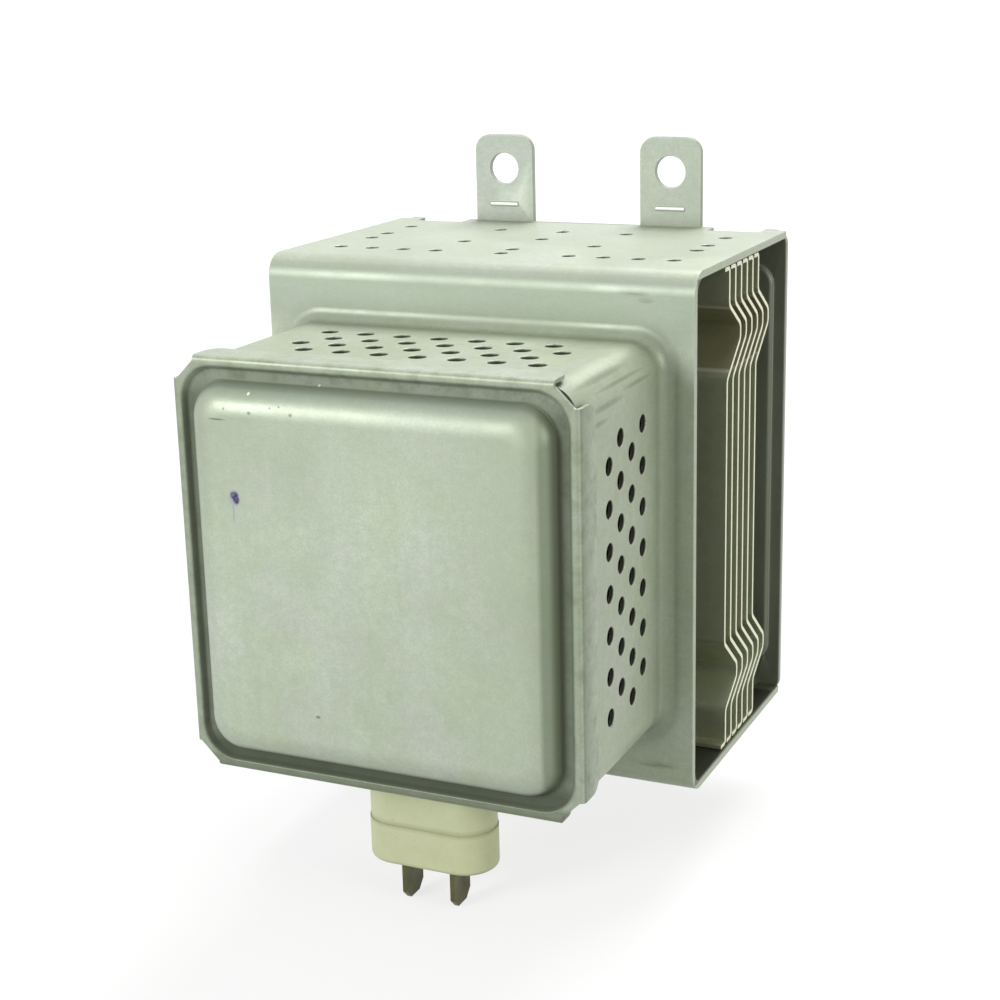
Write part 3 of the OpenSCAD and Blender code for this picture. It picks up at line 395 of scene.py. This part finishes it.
def lid_finish():
    """The lid's zinc, with dirt and painted shade round the groove, painted shade on the panel's sides,
    rim and flange, and the ink dot, drip and specks that the photograph shows.
    """
    sheet = (colour(180, 192, 172), colour(158, 169, 147), colour(195, 206, 191))
    zinc, tone, mottle, clouds = galvanised("galvanised_lid", *sheet)
    from_groove = zinc.reach(*GROOVE_OUTLINE)
    from_foot = zinc.reach(*FOOT_OUTLINE)
    groove = zinc.both(zinc.level(from_groove, 0.1, -0.5), zinc.level(from_foot, -0.9, -0.3))
    panel = zinc.level(from_foot, 0.7, -0.1)
    # Painted shade: the panel darkens towards the top and the right.
    tarnish_and_shade = zinc.calc("ADD", zinc.along(Z, 4.0, 28.0, 0.0, 0.35), zinc.along(X, 10.0, 29.0, 0.0, 0.35))
    tone = zinc.mix(zinc.both(panel, tarnish_and_shade), tone, colour(148, 160, 136))

    dirt_and_shade = zinc.level(zinc.noise(260.0, detail=5.0, roughness=0.7), 0.45, 0.68, 0.0, 0.55)
    margin = zinc.both(zinc.level(from_groove, -3.0, -2.0), dirt_and_shade, zinc.turned(Z, 0.6, 0.9, 1.0, 0.4))
    # Patchy dirt round the groove, rim and flange, with painted shade: less of it on faces turned up.
    tone = zinc.mix(margin, tone, colour(110, 116, 90))
    flange_right_shade = zinc.both(zinc.level(from_groove, 0.0, 0.4), zinc.turned(X, 0.6, 0.9))
    flange_right_shade = zinc.both(flange_right_shade, zinc.along(Y, -92.5, -86.8, 0.6, 0.0))
    # Painted shade on the right-facing flange, stronger towards the front.
    tone = zinc.mix(flange_right_shade, tone, colour(92, 106, 80))
    rim = zinc.both(zinc.level(from_groove, -0.5, -0.1), zinc.turned(Y, -0.7, -0.9, 0.0, 0.5))
    # Painted shade on the front of the rim's inner edge, where it turns into the groove.
    tone = zinc.mix(rim, tone, colour(118, 130, 104))
    under_shade = zinc.both(zinc.level(from_groove, -0.6, 0.0), zinc.along(Z, -32.5, -33.5, 0.0, 0.6))
    # Painted shade on the rim and flange along the bottom.
    tone = zinc.mix(under_shade, tone, colour(86, 94, 70))

    # Painted shade on the panel's sides: those facing up, to the right and down.
    upper_side_shade = zinc.both(panel, zinc.turned(Z, 0.50, 0.80, 0.0, 0.4))
    tone = zinc.mix(upper_side_shade, tone, colour(120, 136, 122))
    right_side_shade = zinc.both(panel, zinc.turned(X, 0.46, 0.62, 0.0, 0.6))
    tone = zinc.mix(right_side_shade, tone, colour(96, 110, 86))
    lower_side_shade = zinc.both(panel, zinc.turned(Z, -0.60, -0.90, 0.0, 0.6))
    tone = zinc.mix(lower_side_shade, tone, colour(80, 90, 68))
    # Painted shade in the groove, lighter along the top.
    tone = zinc.mix(zinc.both(groove, zinc.along(Z, 32.0, 29.0, 0.3, 0.7)), tone, colour(88, 97, 76))
    # Painted shadow in the groove along the bottom, under the panel.
    tone = zinc.mix(zinc.both(groove, zinc.along(Z, -29.0, -31.5, 0.0, 0.7)), tone, colour(56, 64, 46))

    front = zinc.along(Y, -95.0, -95.5)
    drip = zinc.both(zinc.spots(INK_DRIP, 1.0), front, 0.5)
    tone = zinc.mix(drip, tone, colour(128, 120, 166))
    ragged = zinc.level(zinc.noise(1500.0, roughness=0.6), 0.35, 0.55, 0.55, 1.0)
    ink = zinc.both(zinc.spots(INK_DOT, 0.6), front, ragged)
    tone = zinc.mix(ink, tone, colour(52, 44, 92))
    tone = zinc.mix(zinc.both(zinc.spots(DARK_SPECKS), 0.7), tone, colour(84, 90, 76))
    tone = zinc.mix(zinc.both(zinc.spots(PALE_SPECKS), panel), tone, colour(244, 248, 238))
    # The colour passed here is the painted shade of the lid's corners.
    return finish_galvanised(zinc, tone, mottle, clouds, colour(74, 82, 64),
                             corners=4.0, dirt_and_shade=0.5, wear=0.0, dull=groove)


# Finishes of the other pieces

FIN_BENDS = (25.6, 36.6)
RESIN_SEAM = -47.4


def plated_finish():
    """Plated sheet, with painted shade on the face that closes the yoke and a painted highlight on the
    ears' beads.
    """
    sheet = (colour(158, 166, 154), colour(140, 149, 134), colour(174, 182, 171))
    zinc, tone, mottle, clouds = galvanised("plated_steel", *sheet)
    height = zinc.calc("ABSOLUTE", zinc.axis(Z))
    inner = zinc.both(zinc.level(height, 46.0, 45.2), zinc.along(Y, -0.9, -1.2))
    # Painted shade on the face that closes the yoke.
    tone = zinc.mix(zinc.both(inner, 0.75), tone, colour(84, 90, 72))
    beads = zinc.both(zinc.level(height, 46.5, 47.0), zinc.along(Y, -1.50, -1.65))
    # Painted highlight on the ears' beads.
    tone = zinc.mix(beads, tone, colour(236, 240, 230))
    # The colour passed here is the painted shade of the plate's corners.
    return finish_galvanised(zinc, tone, mottle, clouds, colour(120, 124, 104), corners=3.0)


def fin_finish():
    """Rolled aluminium: a soft tarnished tone on the faces, a painted reflection between the bends,
    painted highlights on the bend lines, and bright cut edges, bare metal with a painted highlight.
    """
    fin = Finish("fin_aluminium")
    tarnish_and_shade = fin.noise(45.0, detail=4.0, roughness=0.6)
    grain = fin.noise(1600.0, roughness=0.6)
    tone = fin.mix(fin.level(tarnish_and_shade, 0.35, 0.75), colour(196, 206, 176), colour(160, 164, 128))
    tone = fin.mix(fin.level(grain, 0.4, 0.8, 0.0, 0.2), tone, colour(150, 146, 122))
    low, high = FIN_BENDS
    bend_reflection = fin.both(fin.along(Z, low - 0.2, low + 0.4), fin.along(Z, high + 0.2, high - 0.4, 0.0, 0.35))
    # Painted reflection: a brownish band on the faces between the bends.
    tone = fin.mix(bend_reflection, tone, colour(142, 122, 88))
    # Painted highlights along the bend lines.
    for bend in FIN_BENDS:
        off = fin.calc("ABSOLUTE", fin.calc("SUBTRACT", fin.axis(Z), bend))
        tone = fin.mix(fin.level(off, 0.4, 0.1, 0.0, 0.6), tone, colour(246, 244, 226))
    edge = fin.calc("MAXIMUM", fin.turned(X, 0.6, 0.9), fin.turned(X, -0.6, -0.9))
    # The cut edges: bare metal, with a painted highlight that makes them near white.
    tone = fin.mix(edge, tone, colour(246, 248, 218))
    fin.set(Base_Color=tone, Metallic=fin.level(edge, 0.0, 1.0, 0.6, 0.0))
    fin.set(Roughness=fin.level(tarnish_and_shade, 0.3, 0.8, 0.26, 0.4))
    fin.bump(grain, 0.02, 0.2)
    return fin.material


def resin_finish():
    """Cream moulded block with painted shade along its seam and in its corners."""
    resin = Finish("resin")
    clouds = resin.noise(120.0, detail=4.0, roughness=0.6)
    specks = resin.noise(1500.0, roughness=0.6)
    tone = resin.mix(resin.level(clouds, 0.3, 0.7), colour(190, 196, 153), colour(203, 208, 171))
    tone = resin.mix(resin.level(specks, 0.62, 0.8, 0.0, 0.5), tone, colour(160, 160, 118))
    off = resin.calc("ABSOLUTE", resin.calc("SUBTRACT", resin.axis(Z), RESIN_SEAM))
    # Painted shade along the seam, at the step between the block's two parts.
    tone = resin.mix(resin.level(off, 0.9, 0.2, 0.0, 0.45), tone, colour(150, 152, 108))
    # Painted shade in the corners.
    tone = resin.mix(resin.both(resin.crevice(3.0), 0.4), tone, colour(140, 140, 98))
    resin.set(Base_Color=tone, Roughness=resin.level(clouds, 0.3, 0.7, 0.42, 0.55))
    resin.bump(specks, 0.05, 0.35)
    return resin.material


def metal_finish(name, light, dark, rough, metal=1.0):
    """A plain drawn metal with cloudy tarnish and fine tool marks."""
    drawn = Finish(name)
    clouds = drawn.noise(160.0, detail=4.0, roughness=0.6)
    marks = drawn.noise(700.0, roughness=0.6, place=drawn.stretch((1.0, 4.0, 1.0)))
    tone = drawn.mix(drawn.level(clouds, 0.3, 0.72), light, dark)
    tone = drawn.mix(drawn.level(marks, 0.4, 0.8, 0.0, 0.35), tone, dark)
    drawn.set(Base_Color=tone, Metallic=metal)
    drawn.set(Roughness=drawn.level(clouds, 0.3, 0.7, rough - 0.05, rough + 0.1))
    drawn.bump(marks, 0.03, 0.35)
    return drawn.material


def ferrite_finish():
    """Grey pressed ferrite with a coarse grain."""
    ferrite = Finish("ferrite")
    grain = ferrite.noise(1300.0, detail=4.0, roughness=0.7)
    clouds = ferrite.noise(60.0)
    tone = ferrite.mix(ferrite.level(clouds, 0.3, 0.7), colour(66, 66, 68), colour(84, 83, 82))
    tone = ferrite.mix(ferrite.level(grain, 0.6, 0.8, 0.0, 0.5), tone, colour(120, 119, 116))
    ferrite.set(Base_Color=tone, Roughness=ferrite.level(grain, 0.3, 0.8, 0.5, 0.7))
    ferrite.bump(grain, 0.06, 0.5)
    return ferrite.material


def ceramic_finish():
    """Pinkish fired ceramic with a fine grain."""
    ceramic = Finish("ceramic")
    clouds = ceramic.noise(140.0)
    grain = ceramic.noise(2600.0, roughness=0.6)
    tone = ceramic.mix(ceramic.level(clouds, 0.3, 0.7), colour(240, 222, 214), colour(228, 204, 196))
    tone = ceramic.mix(ceramic.level(grain, 0.6, 0.8, 0.0, 0.3), tone, colour(205, 180, 172))
    ceramic.set(Base_Color=tone, Roughness=ceramic.level(grain, 0.3, 0.8, 0.3, 0.42))
    ceramic.bump(grain, 0.02, 0.3)
    return ceramic.material


def enamel_finish():
    """Glossy brown enamel on the chokes' wire."""
    enamel = Finish("enamelled_wire")
    clouds = enamel.noise(300.0)
    tone = enamel.mix(enamel.level(clouds, 0.3, 0.7), colour(150, 76, 36), colour(112, 52, 26))
    enamel.set(Base_Color=tone, Metallic=0.6, Coat_Weight=0.6)
    enamel.set(Roughness=enamel.level(clouds, 0.3, 0.7, 0.25, 0.38))
    return enamel.material


def make_finishes():
    return {
        "galvanised_sheet": yoke_finish(),
        "galvanised_lid": lid_finish(),
        "plated_steel": plated_finish(),
        "fin_aluminium": fin_finish(),
        "copper": metal_finish("copper", colour(206, 142, 108), colour(150, 92, 62), 0.34),
        "ferrite": ferrite_finish(),
        "bare_metal": metal_finish("bare_metal", colour(150, 150, 150), colour(104, 102, 98), 0.45),
        "ceramic": ceramic_finish(),
        "resin": resin_finish(),
        "enamelled_wire": enamel_finish(),
        "terminal_tin": metal_finish("terminal_tin", colour(96, 96, 46), colour(56, 55, 24), 0.45, 0.4),
        "cap_steel": metal_finish("cap_steel", colour(206, 208, 204), colour(166, 168, 162), 0.3),
        "gasket_wire": metal_finish("gasket_wire", colour(196, 196, 190), colour(150, 148, 140), 0.3),
    }


def dress_nodes(finishes):
    """Every CAD node gets its slot's finish; the terminals are duller and the antenna cap is brighter."""
    for row in frame["record"]["subparts"]:
        node = row["node"]
        finish = finishes[row["material_slot"]]
        if node.startswith("feedthrough"):
            finish = finishes["terminal_tin"]
        if node == "antenna_cap":
            finish = finishes["cap_steel"]
        for slot in frame["nodes"][node].material_slots:
            slot.material = finish


# Pieces

MERGE_DISTANCE = 1e-6
SMOOTH_ANGLE = math.radians(32.0)
FLAT_ANGLE = math.radians(0.4)
SHEET_EASE = 0.16 * MM


def place_piece(bm, name, finish, slot, *nodes):
    """Turns a bmesh into a piece that rides on the body and stands for the named CAD nodes."""
    mesh = bpy.data.meshes.new(name)
    bm.to_mesh(mesh)
    bm.free()
    mesh.shade_smooth()
    mesh.set_sharp_from_angle(angle=SMOOTH_ANGLE)
    piece = bpy.data.objects.new(name, mesh)
    bpy.context.scene.collection.objects.link(piece)
    piece.data.materials.append(finish)
    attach(piece, BODY)
    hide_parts(*nodes)
    return piece


def ease_edges(piece, width, angle=40.0):
    bevel = piece.modifiers.new("eased_edges", "BEVEL")
    bevel.width = width
    bevel.segments = 2
    bevel.limit_method = "ANGLE"
    bevel.angle_limit = math.radians(angle)
    bevel.use_clamp_overlap = False
    bevel.harden_normals = True


def eased_copy(node, finish, slot, rework=None):
    """A merged copy of a CAD node whose sharp edges are eased, as on a pressed sheet."""
    bm = bmesh.new()
    bm.from_mesh(frame["nodes"][node].data)
    bmesh.ops.remove_doubles(bm, verts=bm.verts, dist=MERGE_DISTANCE)
    bmesh.ops.dissolve_limit(bm, angle_limit=FLAT_ANGLE, verts=bm.verts, edges=bm.edges)
    if rework:
        rework(bm)
    piece = place_piece(bm, node + "_skin", finish, slot, node)
    ease_edges(piece, SHEET_EASE)


# Mounting plate: its upper edge lies lower behind the roof's two crimp notches

NOTCH_FLOOR = 44.2 * MM
NOTCH_NEAR = 25.5 * MM
NOTCH_FAR = 35.5 * MM


def clear_notches(bm):
    """Cuts the plate's upper edge down behind the notches, so that light shows through them."""
    cuts = [Vector((0.0, 0.0, NOTCH_FLOOR))]
    for reach in (-NOTCH_FAR, -NOTCH_NEAR, NOTCH_NEAR, NOTCH_FAR):
        cuts.append(Vector((reach, 0.0, 0.0)))
    for point in cuts:
        whole = list(bm.verts) + list(bm.edges) + list(bm.faces)
        bmesh.ops.bisect_plane(bm, geom=whole, plane_co=point, plane_no=point.normalized(), dist=1e-7)
    for side in (-1.0, 1.0):
        inside = []
        for face in bm.faces:
            middle = face.calc_center_median()
            if middle.z > NOTCH_FLOOR and NOTCH_NEAR < middle.x * side < NOTCH_FAR:
                inside.append(face)
        bmesh.ops.delete(bm, geom=inside, context="FACES")
        open_edges = []
        for edge in bm.edges:
            first, second = edge.verts
            if edge.is_boundary and abs(first.co.y - second.co.y) < 1e-5:
                open_edges.append(edge)
        bmesh.ops.bridge_loops(bm, edges=open_edges)
    bmesh.ops.recalc_face_normals(bm, faces=bm.faces)


# Lid: rounded loops lofted from the rim through the groove to the raised panel

LID_FRONT = -92.63 * MM
LID_SHEET = 0.7 * MM
LID_FLANGE = 6.2 * MM
LID_FOLD = 0.9 * MM
LID_FREE_CORNER = 2.6 * MM
LID_EASE = 0.1 * MM
CORNER_STEPS = 10
BEND_STEPS = 7
FOLD_STEPS = 6
# Pull of a bend's curve towards its corner, and how much a loop's corner radius shrinks with its half size
BEND_PULL = 0.6
RADIUS_SHARE = 0.55
# Corners of the lid's section from the rim inwards, in mm: half size, height in front of the rim,
# length of the rounding along each leg, and the loop's corner radius
LID_SECTION = (
    (34.6, 0.0, 0.0, 3.2),
    (33.9, 0.0, 0.2, 6.0),
    (33.2, -1.1, 0.3, 5.6),
    (31.6, -1.1, 0.4, 5.6),
    (31.0, 3.3, 4.0, 5.6),
    (26.5, 3.3, 0.0, 2.8),
)


def section_rows():
    """Half size, height and corner radius of each loop, with the section's bends rounded."""
    corners = [Vector(row[:2]) for row in LID_SECTION]
    rows = []
    for i, (half, height, soft, radius) in enumerate(LID_SECTION):
        here = corners[i]
        if soft == 0.0:
            rows.append((half, height, radius))
            continue
        start = here + (corners[i - 1] - here).normalized() * soft
        stop = here + (corners[i + 1] - here).normalized() * soft
        leave = start.lerp(here, BEND_PULL)
        arrive = stop.lerp(here, BEND_PULL)
        for point in interpolate_bezier(start, leave, arrive, stop, BEND_STEPS):
            rows.append((point.x, point.y, radius - RADIUS_SHARE * (start.x - point.x)))
    return rows


def lid_loop(bm, half, corner, steps):
    """The edges of an upright square with its corners cut or rounded, in the rim's plane."""
    upright = Matrix.Translation((0.0, LID_FRONT, 0.0)) @ Matrix.Rotation(math.radians(90.0), 4, "X")
    made = bmesh.ops.create_grid(bm, x_segments=1, y_segments=1, size=half, matrix=upright)
    bmesh.ops.bevel(bm, geom=made["verts"], offset=corner, segments=steps, profile=0.5,
                    affect="VERTICES", material=-1)
    face = max(bm.faces, key=lambda f: len(f.verts))
    edges = list(face.edges)
    bmesh.ops.delete(bm, geom=[face], context="FACES_ONLY")
    return edges


def draw_loop(bm, ring, old, new):
    """Extrudes a loop and brings its four corners to the next loop's size, height and radius."""
    made = bmesh.ops.extrude_edge_only(bm, edges=ring)["geom"]
    verts = {v for v in made if isinstance(v, bmesh.types.BMVert)}
    edges = [e for e in made if isinstance(e, bmesh.types.BMEdge) and verts.issuperset(e.verts)]
    grow = Matrix.Scale(new[2] / old[2], 4)
    for side_x in (-1.0, 1.0):
        for side_z in (-1.0, 1.0):
            corner = [v for v in verts if v.co.x * side_x > 0.0 and v.co.z * side_z > 0.0]
            centres = []
            for half, height, radius in (old, new):
                reach = (half - radius) * MM
                centres.append(Vector((side_x * reach, LID_FRONT - height * MM, side_z * reach)))
            move = Matrix.Translation(centres[1]) @ grow @ Matrix.Translation(-centres[0])
            bmesh.ops.transform(bm, matrix=move, verts=corner)
    return edges


def fold_flange(bm, side):
    """Draws one straight edge of the rim round its fold and back over the box."""
    middle = (side.verts[0].co + side.verts[1].co) / 2.0
    outward = Vector((middle.x, 0.0, middle.z)).normalized()
    axis = outward.cross(Vector((0.0, 1.0, 0.0)))
    copy = bmesh.ops.duplicate(bm, geom=[side.verts[0], side.verts[1], side])["geom"]
    folded = bmesh.ops.spin(bm, geom=copy, cent=middle + Vector((0.0, LID_FOLD, 0.0)), axis=axis,
                            angle=math.radians(90.0), steps=FOLD_STEPS)["geom_last"]
    edge = [e for e in folded if isinstance(e, bmesh.types.BMEdge)]
    drawn = bmesh.ops.extrude_edge_only(bm, edges=edge)["geom"]
    free = [v for v in drawn if isinstance(v, bmesh.types.BMVert)]
    bmesh.ops.translate(bm, verts=free, vec=(0.0, LID_FLANGE - LID_FOLD, 0.0))
    bmesh.ops.bevel(bm, geom=free, offset=LID_FREE_CORNER, segments=5, profile=0.5,
                    affect="VERTICES", material=-1)


def make_lid(finish):
    bm = bmesh.new()
    rows = section_rows()
    half, _, cut = rows[0]
    rim = lid_loop(bm, half * MM, cut * MM, 1)
    sides = [e for e in rim if e.calc_length() > half * MM]
    cuts = [e for e in rim if e not in sides]
    bmesh.ops.subdivide_edges(bm, edges=cuts, cuts=CORNER_STEPS - 1)
    rim = list(bm.edges)
    half, _, radius = rows[1]
    ring = lid_loop(bm, half * MM, radius * MM, CORNER_STEPS)
    bmesh.ops.bridge_loops(bm, edges=rim + ring)
    for old, new in zip(rows[1:], rows[2:]):
        ring = draw_loop(bm, ring, old, new)
    bmesh.ops.contextual_create(bm, geom=ring)
    for side in sides:
        fold_flange(bm, side)
    bmesh.ops.remove_doubles(bm, verts=bm.verts, dist=MERGE_DISTANCE)
    bmesh.ops.recalc_face_normals(bm, faces=bm.faces)
    panel = max(bm.faces, key=lambda f: f.calc_area())
    if panel.normal.y > 0.0:
        bmesh.ops.reverse_faces(bm, faces=bm.faces)
    lid = place_piece(bm, "filter_lid", finish, "galvanised_sheet", "filter_cover")
    wall = lid.modifiers.new("sheet", "SOLIDIFY")
    wall.thickness = LID_SHEET
    wall.offset = -1.0
    wall.use_even_offset = True
    ease_edges(lid, LID_EASE, 60.0)


# Gasket: a ring of knitted wire round the antenna's neck

GASKET_BORE = 10.4 * MM
GASKET_WIRE = 0.32 * MM
STITCHES_ROUND = 72
STITCHES_ACROSS = 14


def make_gasket(finish):
    low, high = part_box("rf_gasket")
    bm = bmesh.new()
    half_width = (high.x - GASKET_BORE) / 2.0 - GASKET_WIRE / 2.0
    half_height = (high.y - low.y) / 2.0 - GASKET_WIRE / 2.0
    middle = Vector(((high.x + GASKET_BORE) / 2.0, (low.y + high.y) / 2.0, 0.0))
    ring = bmesh.ops.create_circle(bm, cap_ends=False, segments=STITCHES_ACROSS, radius=1.0)
    bmesh.ops.scale(bm, vec=(half_width, half_height, 1.0), verts=ring["verts"])
    bmesh.ops.translate(bm, vec=middle, verts=ring["verts"])
    bmesh.ops.spin(bm, geom=list(bm.verts) + list(bm.edges), cent=(0.0, 0.0, 0.0), axis=(0.0, 1.0, 0.0),
                   angle=math.tau, steps=STITCHES_ROUND, use_merge=True)
    bmesh.ops.remove_doubles(bm, verts=bm.verts, dist=MERGE_DISTANCE)
    square_edges = list(bm.edges)
    bmesh.ops.poke(bm, faces=bm.faces)
    bmesh.ops.dissolve_edges(bm, edges=square_edges, use_verts=False)
    bmesh.ops.recalc_face_normals(bm, faces=bm.faces)
    bmesh.ops.wireframe(bm, faces=bm.faces, thickness=GASKET_WIRE, offset=0.0,
                        use_replace=True, use_even_offset=True)
    place_piece(bm, "gasket_knit", finish, "plated_steel", "rf_gasket")


# Studio, in metres

ROOM_LIGHT = 0.46
FLOOR_HALF = 40.0
FLOOR_DROP = 0.0003
FLOOR_GREY = (0.25, 0.25, 0.25, 1.0)
# The floor's own white near the object and further off, and the distances between which it rises
FLOOR_GLOW = (0.76, 0.95)
FLOOR_GLOW_REACH = (0.3, 2.0)
# Each lamp's place, aim, width, power in watts and tint
LAMPS = {
    "key": ((-0.85, -1.7, 0.55), (0.0, -0.05, 0.0), 0.8, 25.0, (0.99, 0.99, 1.0)),
    "top": ((0.1, 1.0, 1.6), (0.0, -0.03, 0.0), 1.2, 28.5, (1.0, 0.98, 1.0)),
    "fill": ((1.8, -0.5, 0.6), (0.0, -0.05, 0.0), 1.0, 14.0, (1.0, 0.98, 0.9)),
}


def add_lamp(name, place, aim, width, power, tint):
    data = bpy.data.lights.new(name, "AREA")
    data.shape = "DISK"
    data.size = width
    data.energy = power
    data.color = tint
    lamp = bpy.data.objects.new(name, data)
    lamp.location = place
    lamp.rotation_euler = (Vector(aim) - Vector(place)).to_track_quat("-Z", "Y").to_euler()
    bpy.context.scene.collection.objects.link(lamp)


def seen_directly(tree):
    """1 for what the camera, a reflection or glass shows, 0 for the light that reaches the object."""
    path = tree.nodes.new("ShaderNodeLightPath")
    seen = path.outputs["Is Camera Ray"]
    for ray in ("Is Glossy Ray", "Is Transmission Ray"):
        either = tree.nodes.new("ShaderNodeMath")
        either.operation = "MAXIMUM"
        tree.links.new(seen, either.inputs[0])
        tree.links.new(path.outputs[ray], either.inputs[1])
        seen = either.outputs[0]
    return seen


def add_world():
    """Plain light all round, with a white background."""
    world = bpy.data.worlds.new("studio")
    world.use_nodes = True
    bpy.context.scene.world = world
    tree = world.node_tree
    light = tree.nodes["Background"]
    light.inputs["Color"].default_value = WHITE
    light.inputs["Strength"].default_value = ROOM_LIGHT
    backdrop = tree.nodes.new("ShaderNodeBackground")
    backdrop.inputs["Color"].default_value = WHITE
    backdrop.inputs["Strength"].default_value = 1.0
    mix = tree.nodes.new("ShaderNodeMixShader")
    tree.links.new(seen_directly(tree), mix.inputs[0])
    tree.links.new(light.outputs[0], mix.inputs[1])
    tree.links.new(backdrop.outputs[0], mix.inputs[2])
    tree.links.new(mix.outputs[0], tree.nodes["World Output"].inputs[0])


def floor_finish():
    """Pale grey that shows white where nothing shades it."""
    white = Finish("floor_white")
    white.set(Base_Color=FLOOR_GREY, Roughness=0.9, Specular_IOR_Level=0.0, Emission_Color=WHITE)
    away = white.node("ShaderNodeVectorMath", operation="LENGTH")
    white.feed(away.inputs[0], white.place)
    glow = white.level(away.outputs["Value"], *FLOOR_GLOW_REACH, *FLOOR_GLOW)
    white.set(Emission_Strength=white.both(seen_directly(white.tree), glow))
    return white.material


def add_floor():
    bm = bmesh.new()
    bmesh.ops.create_grid(bm, x_segments=1, y_segments=1, size=FLOOR_HALF)
    bmesh.ops.translate(bm, verts=bm.verts, vec=(0.0, 0.0, cad_box[0].z - FLOOR_DROP))
    mesh = bpy.data.meshes.new("floor")
    bm.to_mesh(mesh)
    bm.free()
    floor = bpy.data.objects.new("floor", mesh)
    bpy.context.scene.collection.objects.link(floor)
    floor.data.materials.append(floor_finish())


add_camera()
add_world()
add_floor()
for lamp_name, settings in LAMPS.items():
    add_lamp(lamp_name, *settings)

finishes = make_finishes()
dress_nodes(finishes)
eased_copy("yoke_case", finishes["galvanised_sheet"], "galvanised_sheet")
eased_copy("mounting_plate", finishes["plated_steel"], "plated_steel", rework=clear_notches)
make_lid(finishes["galvanised_lid"])
make_gasket(finishes["gasket_wire"])

bpy.context.scene.view_settings.view_transform = "Standard"
